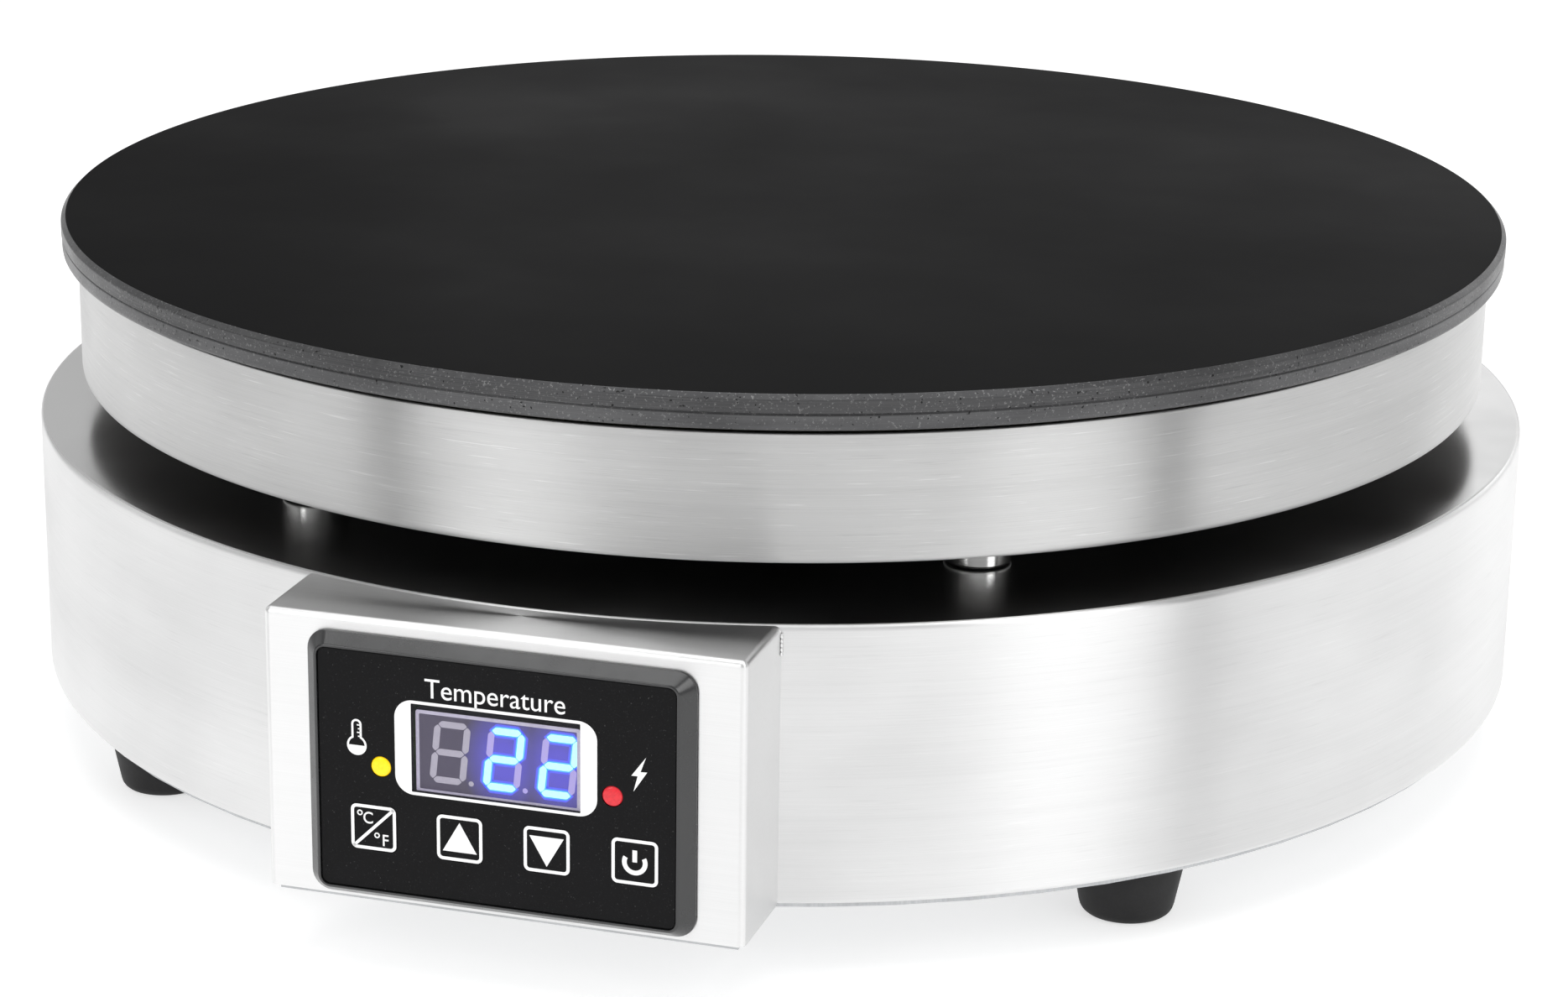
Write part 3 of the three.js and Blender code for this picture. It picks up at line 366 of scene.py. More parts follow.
def make_display_face(digits, level):
    """Smoked face of the display with painted glow: a faint violet over all of it and a painted pool of
    blue light round the digits that are on.
    """
    face = Surface("display face", (0.052, 0.05, 0.075), 0.35)
    grain = face.grain(900.0, 2.0, 0.6)
    face.shade(grain, 0.4, 0.7, 0.5, (0.075, 0.072, 0.105))
    total = None
    for digit in digits:
        coordinates = face.node("ShaderNodeTexCoord")
        offset = face.node("ShaderNodeVectorMath", operation="SUBTRACT")
        offset.inputs[1].default_value = (digit, 0, level)
        face.link(coordinates.outputs["Object"], offset.inputs[0])
        flat = face.node("ShaderNodeVectorMath", operation="MULTIPLY")
        flat.inputs[1].default_value = (1, 0, 0.75)
        face.link(offset.outputs[0], flat.inputs[0])
        length = face.node("ShaderNodeVectorMath", operation="LENGTH")
        face.link(flat.outputs[0], length.inputs[0])
        glow = face.between(length.outputs["Value"], 3 * MM, 11 * MM, 1.0, 0.0)
        if total is None:
            total = glow
        else:
            both = face.node("ShaderNodeMath", operation="MAXIMUM")
            face.link(total, both.inputs[0])
            face.link(glow, both.inputs[1])
            total = both.outputs[0]
    # Painted light: the whole face emits a faint violet, and a blue pool round the lit digits.
    face.shader.inputs["Emission Strength"].default_value = 1.0
    colours = face.node("ShaderNodeMix", data_type="RGBA")
    colours.inputs["A"].default_value = (0.07, 0.058, 0.095, 1)
    colours.inputs["B"].default_value = (0.12, 0.1, 0.8, 1)
    face.link(total, colours.inputs["Factor"])
    face.link(colours.outputs["Result"], face.shader.inputs["Emission Color"])
    return face


def make_glow(name, colour, glow, strength, edge):
    """Lit plastic, brighter in its middle than at its edge."""
    lens = Surface(name, colour, 0.3)
    grain = lens.grain(1100.0, 2.0, 0.6)
    lens.shade(grain, 0.4, 0.7, 0.5, edge)
    rim = lens.node("ShaderNodeLayerWeight")
    rim.inputs["Blend"].default_value = 0.35
    colours = lens.node("ShaderNodeMix", data_type="RGBA")
    colours.inputs["A"].default_value = (*glow, 1)
    colours.inputs["B"].default_value = (*edge, 1)
    lens.link(rim.outputs["Facing"], colours.inputs["Factor"])
    lens.link(colours.outputs["Result"], lens.shader.inputs["Emission Color"])
    lens.shader.inputs["Emission Strength"].default_value = strength
    return lens


def make_digit_layers():
    """Materials of the display's layers, from the widest glow to the segments."""
    layers = {
        "wide_glow": ((0.1, 0.1, 0.6), (0.1, 0.13, 0.95), 1.0, (0.09, 0.1, 0.8)),
        "near_glow": ((0.05, 0.2, 1.0), (0.06, 0.34, 1.0), 1.5, (0.06, 0.25, 1.0)),
        "lit_segments": ((0.4, 0.9, 1.0), (0.42, 0.85, 1.0), 1.5, (0.2, 0.6, 1.0)),
        # Segments that are off also emit: painted glow, grey-lavender on the dark digit and a painted blue
        # spill on the lit digits.
        "unlit_segments_painted_glow": ((0.42, 0.4, 0.46), (0.34, 0.32, 0.4), 0.9, (0.3, 0.28, 0.36)),
        "unlit_segments_painted_blue_glow": ((0.36, 0.33, 0.5), (0.4, 0.34, 0.78), 0.9, (0.36, 0.3, 0.75)),
    }
    return {name: make_glow(name.replace("_", " "), *values) for name, values in layers.items()}


def make_window_tint():
    tint = Surface("window tint", (0.05, 0.048, 0.06), 0.12)
    tint.shader.inputs["Alpha"].default_value = 0.16
    tint.shader.inputs["Specular IOR Level"].default_value = 0.4
    haze = tint.grain(300.0, 3.0, 0.6)
    return tint.rough(haze, 0.08, 0.2)


def make_floor():
    floor = Surface("studio floor", (0.6, 0.6, 0.6), 0.6)
    floor.shader.inputs["Specular IOR Level"].default_value = 0.1
    floor.shader.inputs["Emission Color"].default_value = (1, 1, 1, 1)
    floor.shader.inputs["Emission Strength"].default_value = 0.62
    cloud = floor.noise(floor.place((3, 3, 3)), 1.0, 2.0, 0.5)
    return floor.shade(cloud, 0.4, 0.7, 0.3, (0.58, 0.58, 0.58))


def make_flag_cloth():
    cloth = Surface("black cloth", (0.015, 0.015, 0.015), 0.9)
    weave = cloth.grain(900.0, 2.0, 0.6)
    return cloth.shade(weave, 0.4, 0.7, 0.5, (0.03, 0.03, 0.03))


# ---------- mesh helpers ----------

def soft_corners(points, closed, steps=5):
    """Rounds a line of points. Each is (coordinates, distance), and its corner starts that
    distance away from the point."""
    count = len(points)
    result = []
    for index, (point, distance) in enumerate(points):
        here = Vector(point)
        ends = not closed and index in (0, count - 1)
        if distance <= 0 or ends:
            result.append(here)
            continue
        before = Vector(points[index - 1][0]) - here
        after = Vector(points[(index + 1) % count][0]) - here
        start = here + before * min(0.49, distance / before.length)
        end = here + after * min(0.49, distance / after.length)
        for step in range(steps + 1):
            t = step / steps
            result.append(start * (1 - t) ** 2 + here * 2 * t * (1 - t) + end * t ** 2)
    return result


def add_object(name, data):
    obj = bpy.data.objects.new(name, data)
    bpy.context.scene.collection.objects.link(obj)
    return obj


def cleaned(mesh):
    """Merges doubled points and turns the faces outwards."""
    bm = bmesh.new()
    bm.from_mesh(mesh)
    bmesh.ops.remove_doubles(bm, verts=bm.verts, dist=1e-7)
    bmesh.ops.recalc_face_normals(bm, faces=bm.faces)
    bm.to_mesh(mesh)
    bm.free()
    return mesh


def mesh_from(name, vertices, faces):
    mesh = bpy.data.meshes.new(name)
    mesh.from_pydata([tuple(v) for v in vertices], [], faces)
    return cleaned(mesh)


def lathe(name, profile, sides, wave=None):
    """Turned mesh from (radius, height) points that end on the axis or close on themselves.
    wave(angle, radius, height) may change the radius round the part."""
    profile = [tuple(point) for point in profile]
    on_axis = profile[0][0] < 1e-9
    vertices = []
    faces = []
    for radius, height in profile:
        for side in range(sides):
            angle = 2 * math.pi * side / sides
            r = radius if wave is None else wave(angle, radius, height)
            vertices.append((r * math.cos(angle), r * math.sin(angle), height))
    rows = len(profile)
    for row in range(rows - 1 if on_axis else rows):
        for side in range(sides):
            a = row * sides + side
            b = row * sides + (side + 1) % sides
            c = (row + 1) % rows * sides + (side + 1) % sides
            d = (row + 1) % rows * sides + side
            faces.append((a, b, c, d))
    mesh = mesh_from(name, vertices, faces)
    bm = bmesh.new()
    bm.from_mesh(mesh)
    bmesh.ops.dissolve_degenerate(bm, edges=bm.edges, dist=1e-8)
    bm.to_mesh(mesh)
    bm.free()
    return mesh


def rounded_loop(half_width, half_height, corner, z, steps=8):
    """Rounded rectangle as points at height z, counter-clockwise."""
    points = []
    centres = [(1, 1, 0), (-1, 1, 90), (-1, -1, 180), (1, -1, 270)]
    for sx, sy, first in centres:
        for step in range(steps + 1):
            angle = math.radians(first + 90 * step / steps)
            x = sx * (half_width - corner) + corner * math.cos(angle)
            y = sy * (half_height - corner) + corner * math.sin(angle)
            points.append((x, y, z))
    return points


def loft(name, loops, ring=False):
    """Skin over loops of equal length. A ring joins its last loop to its first.
    Otherwise both ends are capped."""
    count = len(loops[0])
    vertices = [point for loop in loops for point in loop]
    faces = []
    rows = len(loops)
    for row in range(rows if ring else rows - 1):
        following = (row + 1) % rows
        for side in range(count):
            after = (side + 1) % count
            here, there = row * count, following * count
            faces.append((here + side, here + after, there + after, there + side))
    if not ring:
        faces.append(tuple(range(count)))
        faces.append(tuple(range((rows - 1) * count, rows * count)))
    return mesh_from(name, vertices, faces)


def frame_loft(name, sections, steps=4, ring=True):
    """Loft of rounded rectangles. Each section is ((half width, half height, corner, z), softness)."""
    loops = [rounded_loop(*section) for section in soft_corners(sections, ring, steps)]
    return loft(name, loops, ring)


def flat_mesh(name, outlines, back, front, bevel=0.0):
    """Plate between two heights. The first outline is its edge and the others are its holes."""
    curve = bpy.data.curves.new(name, "CURVE")
    curve.dimensions = "2D"
    curve.fill_mode = "BOTH"
    curve.extrude = (front - back) / 2 - bevel
    curve.bevel_depth = bevel
    curve.bevel_resolution = 2
    curve.offset = -bevel
    for outline in outlines:
        spline = curve.splines.new("POLY")
        spline.points.add(len(outline) - 1)
        for point, place in zip(spline.points, outline):
            point.co = (place[0], place[1], 0, 1)
        spline.use_cyclic_u = True
    return curve_to_mesh(curve, (back + front) / 2)


def curve_to_mesh(curve, lift):
    holder = add_object(curve.name, curve)
    graph = bpy.context.evaluated_depsgraph_get()
    mesh = bpy.data.meshes.new_from_object(holder.evaluated_get(graph))
    mesh.transform(Matrix.Translation((0, 0, lift)))
    bpy.data.objects.remove(holder)
    bpy.data.curves.remove(curve)
    return cleaned(mesh)


def text_mesh(name, words, size, x, y, back, front, weight=0.0, width=1.0):
    """Letters centred on (x, y), where y is their baseline."""
    curve = bpy.data.curves.new(name, "FONT")
    curve.body = words
    curve.size = size
    curve.align_x = "CENTER"
    curve.extrude = (front - back) / 2
    curve.offset = weight
    mesh = curve_to_mesh(curve, (back + front) / 2)
    mesh.transform(Matrix.Translation((x, y, 0)) @ Matrix.Scale(width, 4, (1, 0, 0)))
    return mesh


def joined(name, meshes, slots=None):
    """One mesh from several. slots gives each one's material index."""
    bm = bmesh.new()
    for index, mesh in enumerate(meshes):
        first = len(bm.faces)
        bm.from_mesh(mesh)
        bm.faces.ensure_lookup_table()
        for face in bm.faces[first:]:
            face.material_index = slots[index] if slots else 0
    result = bpy.data.meshes.new(name)
    bm.to_mesh(result)
    bm.free()
    return result


def piece(name, mesh, surfaces, replaces=(), body=BODY, place=None, sharp=35):
    """Adds a finished mesh to the object."""
    obj = add_object(name, mesh)
    if place is not None:
        mesh.transform(place)
    for surface in surfaces:
        mesh.materials.append(surface.material)
    mesh.shade_smooth()
    mesh.set_sharp_from_angle(angle=math.radians(sharp))
    weighted = obj.modifiers.new("even shading", "WEIGHTED_NORMAL")
    weighted.keep_sharp = True
    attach(obj, body)
    if replaces:
        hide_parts(*replaces)
    return obj


def cut_mesh(mesh, cutters):
    """Takes cutter meshes away from a mesh."""
    target = add_object("cut target", mesh)
    helpers = []
    for cutter in cutters:
        helper = add_object("cutter", cutter)
        helpers.append(helper)
        boolean = target.modifiers.new("cut", "BOOLEAN")
        boolean.operation = "DIFFERENCE"
        boolean.solver = "EXACT"
        boolean.object = helper
    graph = bpy.context.evaluated_depsgraph_get()
    result = bpy.data.meshes.new_from_object(target.evaluated_get(graph))
    result.materials.clear()
    for obj in [target, *helpers]:
        bpy.data.objects.remove(obj)
    return result


def box_mesh(name, low, high, bevelled=None, bevel=0.0):
    """Box between two corners. bevelled(edge) picks the edges to round."""
    bm = bmesh.new()
    bmesh.ops.create_cube(bm, size=1.0)
    low, high = Vector(low), Vector(high)
    for vertex in bm.verts:
        vertex.co = Vector(low[i] + (vertex.co[i] + 0.5) * (high[i] - low[i]) for i in range(3))
    if bevelled:
        edges = [edge for edge in bm.edges if bevelled(edge)]
        bmesh.ops.bevel(bm, geom=edges, offset=bevel, segments=5, profile=0.5, affect="EDGES")
    mesh = bpy.data.meshes.new(name)
    bm.to_mesh(mesh)
    bm.free()
    return mesh


def round_bar(name, radius, bottom, top, sides=SMALL_SIDES, place=None):
    mesh = lathe(name, [(0, bottom), (radius, bottom), (radius, top), (0, top)], sides)
    if place is not None:
        mesh.transform(place)
    return mesh


def at(x, y, z=0.0):
    return Matrix.Translation((x, y, z))


def middle(node):
    low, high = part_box(node)
    return (low.x + high.x) / 2, (low.y + high.y) / 2


# ---------- cooking plate and drum ----------

def add_plate(top, rim):
    radius = PLATE_RADIUS
    thick = PLATE_RIM
    line = thick - 4.8 * MM
    boss = plate_high.z - plate_low.z - thick
    outline = [
        ((0, -boss), 0),
        ((13 * MM, -boss), 0.8 * MM),
        ((13 * MM, 0), 1 * MM),
        ((radius - 0.15 * MM, 0), 1.1 * MM),
        ((radius - 0.15 * MM, line - 0.35 * MM), 0.1 * MM),
        ((radius - 0.5 * MM, line), 0.1 * MM),
        ((radius, line + 0.35 * MM), 0.15 * MM),
        ((radius, thick - 1.3 * MM), 0.25 * MM),
        ((radius - 1.3 * MM, thick), 0.25 * MM),
        ((0, thick), 0),
    ]
    profile = soft_corners(outline, False, 4)
    rings = [(radius * share, thick) for share in (0.9, 0.7, 0.5, 0.3, 0.1)]
    profile = profile[:-1] + rings + profile[-1:]
    mesh = lathe("plate", profile, ROUND_SIDES)
    mesh.transform(at(0, 0, plate_high.z - thick))
    plate = piece("plate", mesh, [rim, top], ["cooking_plate"], sharp=50)
    for face in mesh.polygons:
        face.material_index = 1 if face.normal.z > 0.95 and face.center.z > plate_high.z - 0.2 * MM else 0
    return plate


def add_drum(steel, underside):
    height = drum_high.z - drum_low.z
    sheet = 1 * MM
    outline = [
        ((11 * MM, 0), 0),
        ((DRUM_RADIUS, 0), 2.5 * MM),
        ((DRUM_RADIUS, height), 0.4 * MM),
        ((DRUM_RADIUS - sheet, height), 0.3 * MM),
        ((DRUM_RADIUS - sheet, sheet), 1.5 * MM),
        ((11 * MM, sheet), 0),
    ]
    mesh = lathe("drum", soft_corners(outline, True, 6), ROUND_SIDES)
    mesh.transform(at(0, 0, drum_low.z))
    places = [at(*middle(f"plate_stud_{number}"), drum_low.z) for number in range(1, 5)]
    holes = [round_bar("stud hole", STUD_HOLE, -2 * MM, 2 * MM, 32, place) for place in places]
    mesh = cut_mesh(mesh, holes)
    drum = piece("drum", mesh, [steel, underside], ["drum_shell"])
    # Faces pointing down get the painted-shade material, which darkens the gap under the drum.
    for face in mesh.polygons:
        face.material_index = 1 if face.normal.z < -0.9 else 0
    return drum


def add_posts(steel):
    for number in range(1, 5):
        node = f"standoff_post_{number}"
        low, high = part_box(node)
        height = high.z - low.z
        wide = (high.y - low.y) / 2
        outline = [
            ((STUD_HOLE, 0), 0),
            ((wide, 0), 0.7 * MM),
            ((wide, height), 0.7 * MM),
            ((STUD_HOLE, height), 0),
        ]
        mesh = lathe(node, soft_corners(outline, True, 3), SMALL_SIDES)
        mesh.transform(at(*middle(node), low.z))
        piece(f"post_{number}", mesh, [steel], [node])


# ---------- housing ----------

def add_base(steel, top_sheet):
    height = base_high.z - base_low.z
    inner = BASE_RADIUS - SHEET
    flange = BASE_RADIUS - 34 * MM
    outline = [
        ((flange, 0), 0),
        ((BASE_RADIUS, 0), 1.2 * MM),
        ((BASE_RADIUS, height), 1.7 * MM),
        ((11 * MM, height), 0),
        ((11 * MM, height - SHEET), 0),
        ((inner, height - SHEET), 1 * MM),
        ((inner, SHEET), 0.5 * MM),
        ((flange, SHEET), 0),
    ]
    mesh = lathe("base", soft_corners(outline, True, 6), ROUND_SIDES)
    mesh.transform(at(0, 0, base_low.z))
    cutters = []
    for number in range(1, 5):
        post = at(*middle(f"plate_stud_{number}"), base_high.z)
        cutters.append(round_bar("stud hole", STUD_HOLE, -3 * MM, 3 * MM, 32, post))
        foot = at(*middle(f"foot_{number}"), base_low.z)
        cutters.append(round_bar("screw hole", 3 * MM, -3 * MM, 3 * MM, 32, foot))
    margin = 7.2 * MM
    door_x = front_high.x - margin
    low = (-door_x, -BASE_RADIUS * 1.2, base_low.z + margin)
    high = (door_x, -BASE_RADIUS * 0.7, base_high.z - margin)
    cutters.append(box_mesh("doorway", low, high))
    turn = at(0, BASE_RADIUS, (base_low.z + base_high.z) / 2) @ Matrix.Rotation(math.pi / 2, 4, "X")
    cutters.append(round_bar("gland hole", 10.5 * MM, -12 * MM, 12 * MM, 48, turn))
    mesh = cut_mesh(mesh, cutters)
    base = piece("base", mesh, [steel, top_sheet], ["base_shell"])
    for face in mesh.polygons:
        face.material_index = 1 if face.normal.z > 0.9 and face.center.z > base_high.z - 0.3 * MM else 0
    return base


def add_control_box(steel):
    low = Vector(front_low)
    high = Vector((front_high.x, 0, front_high.z))

    def outside_edge(edge):
        a, b = edge.verts
        front = abs(a.co.y - low.y) < 1e-6 and abs(b.co.y - low.y) < 1e-6
        top = abs(a.co.z - high.z) < 1e-6 and abs(b.co.z - high.z) < 1e-6
        bottom = abs(a.co.z - low.z) < 1e-6 and abs(b.co.z - low.z) < 1e-6
        back = abs(a.co.y - high.y) < 1e-6 and abs(b.co.y - high.y) < 1e-6
        return (front or top) and not bottom and not back

    outer = box_mesh("box", low, high, outside_edge, 1.7 * MM)
    inside_low = low + Vector((SHEET, SHEET, -10 * MM))
    inside_high = high + Vector((-SHEET, 10 * MM, -SHEET))
    inside = box_mesh("box inside", inside_low, inside_high)
    drum = round_bar("base round", BASE_RADIUS + 0.3 * MM, -1, 1, ROUND_SIDES)
    wide, tall = (half - 0.1 * MM for half in half_size(film_low, film_high))
    opening = loft("opening", [rounded_loop(wide, tall, 2.6 * MM, z) for z in (-9 * MM, 2 * MM)])
    opening.transform(PANEL)
    mesh = cut_mesh(outer, [inside, drum, opening])
    return piece("front_box", mesh, [steel], ["control_box"])


def add_box_weld(steel):
    """Short ground welds that hold the box's sides to the round base, at the top corners."""
    for side in (-1, 1):
        x = side * (front_high.x - 0.5 * MM)
        y = -math.sqrt(BASE_RADIUS ** 2 - x ** 2) - 0.15 * MM
        beads = []
        for step in range(5):
            z = front_high.z - 2.5 * MM - step * 1.1 * MM
            bead = bmesh.new()
            bmesh.ops.create_uvsphere(bead, u_segments=12, v_segments=8, radius=0.75 * MM)
            mesh = bpy.data.meshes.new("bead")
            bead.to_mesh(mesh)
            bead.free()
            mesh.transform(at(x + side * 0.75 * MM, y, z) @ Matrix.Diagonal((0.55, 1.0, 0.9, 1)))
            beads.append(mesh)
        name = "weld_left" if side < 0 else "weld_right"
        piece(name, joined(name, beads), [steel])


def add_feet(rubber):
    for number in range(1, 5):
        node = f"foot_{number}"
        low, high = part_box(node)
        height = high.z - low.z
        wide = (high.y - low.y) / 2
        sole = wide - 3.2 * MM
        outline = [
            ((6.5 * MM, 0), 0.4 * MM),
            ((sole, 0), 2.6 * MM),
            ((wide - 0.4 * MM, height - 2.2 * MM), 0.6 * MM),
            ((wide, height - 1.6 * MM), 0.3 * MM),
            ((wide, height), 0.4 * MM),
            ((3 * MM, height), 0),
            ((3 * MM, 8 * MM), 0),
            ((6.5 * MM, 8 * MM), 0.3 * MM),
        ]
        mesh = lathe(node, soft_corners(outline, True, 5), SMALL_SIDES)
        mesh.transform(at(*middle(node), low.z))
        piece(f"rubber_foot_{number}", mesh, [rubber], [node])


def add_gland(nylon):
    """Hexagonal body and ribbed dome nut of the cable gland, along +Y."""
    body_low, body_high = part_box("gland_body")
    cap_low, cap_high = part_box("gland_cap")
    level = (body_low.z + body_high.z) / 2
    start = BASE_RADIUS
    turn = at(0, start, level) @ Matrix.Rotation(-math.pi / 2, 4, "X")
    bore = 5.5 * MM
    flats = (body_high.x - body_low.x) / 2

    def hexagonal(angle, radius, height):
        if radius < flats * 0.8:
            return radius
        turn_in = (angle % (math.pi / 3)) - math.pi / 6
        return radius / math.cos(turn_in)

    low_face = 0.6 * MM
    high_face = cap_low.y - start - 0.3 * MM
    neck = 8.5 * MM
    body_end = high_face + (cap_high.y - cap_low.y) / 2
    inside = body_low.y - start
    outline = [
        ((bore, inside), 0),
        ((10 * MM, inside), 0.5 * MM),
        ((10 * MM, low_face), 0),
        ((flats, low_face), 0.6 * MM),
        ((flats, high_face), 0.8 * MM),
        ((neck, high_face), 0),
        ((neck, body_end), 0),
        ((bore, body_end), 0),
    ]
    mesh = lathe("gland body", soft_corners(outline, True, 3), 96, hexagonal)
    piece("gland_hexagon", mesh, [nylon], ["gland_body"], place=turn)

    radius = (cap_high.z - cap_low.z) / 2
    bottom = cap_low.y - start
    top = cap_high.y - start
    ribs = 24

    def ribbed(angle, r, height):
        if r < radius * 0.9 or height > top - 6 * MM:
            return r
        return r - 0.35 * MM * (0.5 + 0.5 * math.cos(ribs * angle))

    outline = [
        ((neck + 0.3 * MM, bottom), 0),
        ((radius, bottom), 0.5 * MM),
        ((radius, top - 5.5 * MM), 0.2 * MM),
        ((radius - 0.5 * MM, top - 5 * MM), 0.4 * MM),
        ((8 * MM, top), 1.6 * MM),
        ((bore, top), 0.5 * MM),
        ((bore, top - 4 * MM), 0),
        ((neck + 0.3 * MM, top - 4 * MM), 0),
    ]
    mesh = lathe("gland cap", soft_corners(outline, True, 4), 192, ribbed)
    piece("gland_dome_nut", mesh, [nylon], ["gland_cap"], place=turn)


# ---------- control panel ----------

FILM_THICK = 1.3 * MM
INK = 0.05 * MM
STROKE = 0.8 * MM


def add_bezel(plastic):
    wide, tall = half_size(bezel_low, bezel_high)
    film_wide, film_tall = half_size(film_low, film_high)
    front = film_low.y - bezel_low.y
    foot = front - 4.2 * MM
    back = film_low.y - bezel_high.y
    gap = 0.25 * MM
    side = wide - film_wide - 0.6 * MM
    rise = tall - film_tall - 0.6 * MM
    sections = [
        ((wide, tall, 5 * MM, foot), 0.1 * MM),
        ((wide, tall, 5 * MM, foot + 0.5 * MM), 0.3 * MM),
        ((wide - side * 0.92, tall - rise * 0.92, 2.9 * MM, front), 0.5 * MM),
        ((film_wide + gap, film_tall + gap, 2.2 * MM, front), 0.12 * MM),
        ((film_wide + gap, film_tall + gap, 2.2 * MM, -FILM_THICK - 0.3 * MM), 0),
        ((film_wide - 2 * MM, film_tall - 2 * MM, 2 * MM, -FILM_THICK - 0.3 * MM), 0),
        ((film_wide - 2 * MM, film_tall - 2 * MM, 2 * MM, back), 0),
        ((film_wide - 0.4 * MM, film_tall - 0.4 * MM, 2.4 * MM, back), 0.2 * MM),
        ((film_wide - 0.4 * MM, film_tall - 0.4 * MM, 2.4 * MM, foot), 0),
    ]
    mesh = frame_loft("bezel", sections)
    return piece("bezel", mesh, [plastic], ["panel_bezel"], place=PANEL)


def key_place(name):
    """Middle and half size of a key's cap in panel coordinates. Its CAD box includes the hidden lip."""
    low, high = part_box(name)
    x, y = panel_centre(low, high)
    lip = 0.9 * MM
    return x, y, *(half - lip for half in half_size(low, high))


KEYS = ["key_unit", "key_up", "key_down", "key_power"]
LAMPS = ["heat_lamp", "power_lamp"]


def shifted(loop, x, y):
    return [(point[0] + x, point[1] + y) for point in loop]


def circle(x, y, radius, sides=40, start=0.0, end=360.0):
    """Points round a circle, or along part of it."""
    whole = abs(end - start) >= 360
    count = sides if whole else sides + 1
    points = []
    for step in range(count):
        angle = math.radians(start + (end - start) * step / sides)
        points.append((x + radius * math.cos(angle), y + radius * math.sin(angle)))
    return points


def add_film(film):
    wide, tall = half_size(film_low, film_high)
    outlines = [rounded_loop(wide, tall, 2 * MM, 0)]
    for key in KEYS:
        x, y, half_wide, half_tall = key_place(key)
        hole = rounded_loop(half_wide + 0.12 * MM, half_tall + 0.12 * MM, 1.7 * MM, 0)
        outlines.append(shifted(hole, x, y)[::-1])
    x, y = panel_centre(window_low, window_high)
    half_wide, half_tall = half_size(window_low, window_high)
    hole = rounded_loop(half_wide, half_tall, 0.15 * MM, 0)
    outlines.append(shifted(hole, x, y)[::-1])
    for lamp in LAMPS:
        x, y = panel_centre(*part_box(lamp))
        outlines.append(circle(x, y, 2.62 * MM)[::-1])
    mesh = flat_mesh("film", outlines, -FILM_THICK, 0, 0.1 * MM)
    return piece("panel_film", mesh, [film], ["panel_overlay"], place=PANEL)


def display_frame():
    """White printed band round the window, wider at its sides."""
    x, y = panel_centre(window_low, window_high)
    half_wide, half_tall = half_size(window_low, window_high)
    outer = rounded_loop(half_wide + 4.2 * MM, half_tall + 0.8 * MM, 4.6 * MM, 0, 12)
    inner = rounded_loop(half_wide + 0.05 * MM, half_tall + 0.05 * MM, 0.2 * MM, 0, 2)
    return flat_mesh("display frame", [shifted(outer, x, y), shifted(inner, x, y)[::-1]], 0, INK)


def thermometer():
    """Outlined thermometer with a half-filled bulb and four marks on its stem."""
    x, y = -35 * MM, 8.4 * MM
    bulb_y = y - 2.05 * MM
    bulb = 2.5 * MM
    stem = 1.3 * MM
    top = y + 3.25 * MM
    line = 0.5 * MM

    def outline(inset):
        radius = bulb - inset
        half = stem - inset
        join = math.degrees(math.asin(half / radius))
        points = circle(x, bulb_y, radius, 36, 90 + join, 450 - join)
        return points + circle(x, top, half, 14, 0, 180)

    meshes = [flat_mesh("thermometer", [outline(0), outline(line)[::-1]], 0, INK)]
    fill = circle(x, bulb_y, bulb - line + 0.05 * MM, 24, 180, 360)
    meshes.append(flat_mesh("bulb fill", [fill], 0, INK))
    for mark in range(4):
        level = y + 3.1 * MM - mark * 0.95 * MM
        low, high = level - 0.16 * MM, level + 0.16 * MM
        right = x + stem - line / 2
        left = right - (0.95 * MM if mark % 2 == 0 else 0.7 * MM)
        meshes.append(flat_mesh("mark", [[(left, low), (right, low), (right, high), (left, high)]], 0, INK))
    return meshes


def bolt():
    x, y = 35.6 * MM, 7.9 * MM
    shape = [(1.7, 4.4), (-1.9, -0.5), (-0.35, -0.45), (-1.35, -4.4), (2.0, 0.75), (0.35, 0.65)]
    return flat_mesh("bolt", [[(x + px * MM, y + py * MM) for px, py in shape]], 0, INK)


def add_panel_print(ink):
    meshes = [display_frame(), bolt(), *thermometer()]
    word = text_mesh("word", "Temperature", 6.9 * MM, 0, 20.5 * MM, 0, INK)
    span = max(v.co.x for v in word.vertices) - min(v.co.x for v in word.vertices)
    word.transform(Matrix.Scale(35 * MM / span, 4, (1, 0, 0)))
    meshes.append(word)
    mesh = joined("panel print", meshes)
    return piece("panel_print", mesh, [ink], place=PANEL, sharp=20)


def key_outline(half_wide, half_tall):
    outer = rounded_loop(half_wide, half_tall, 1.5 * MM, 0, 8)
    inner = rounded_loop(half_wide - STROKE, half_tall - STROKE, 0.75 * MM, 0, 8)
    return flat_mesh("key outline", [outer, inner[::-1]], 0, INK)


def thick_line(x0, y0, x1, y1, width):
    along = Vector((x1 - x0, y1 - y0)).normalized()
    side = Vector((-along.y, along.x)) * width / 2
    start, end = Vector((x0, y0)), Vector((x1, y1))
    return [tuple(start + side), tuple(start - side), tuple(end - side), tuple(end + side)]


def unit_icon(half_wide, half_tall):
    edge_x = half_wide - STROKE * 0.8
    edge_y = half_tall - STROKE * 0.8
    slash = flat_mesh("slash", [thick_line(-edge_x, -edge_y, edge_x, edge_y, 0.75 * MM)], 0, INK)
    meshes = [slash]
    for letter, x, y in (("C", -1.35, 1.0), ("F", 2.95, -4.35)):
        meshes.append(text_mesh(letter, letter, 4.2 * MM, x * MM, y * MM, 0, INK, 0.03 * MM, 0.92))
        ring = [circle((x - 2.1) * MM, (y + 2.5) * MM, 0.72 * MM, 24),
                circle((x - 2.1) * MM, (y + 2.5) * MM, 0.4 * MM, 24)[::-1]]
        meshes.append(flat_mesh("degree", ring, 0, INK))
    return meshes


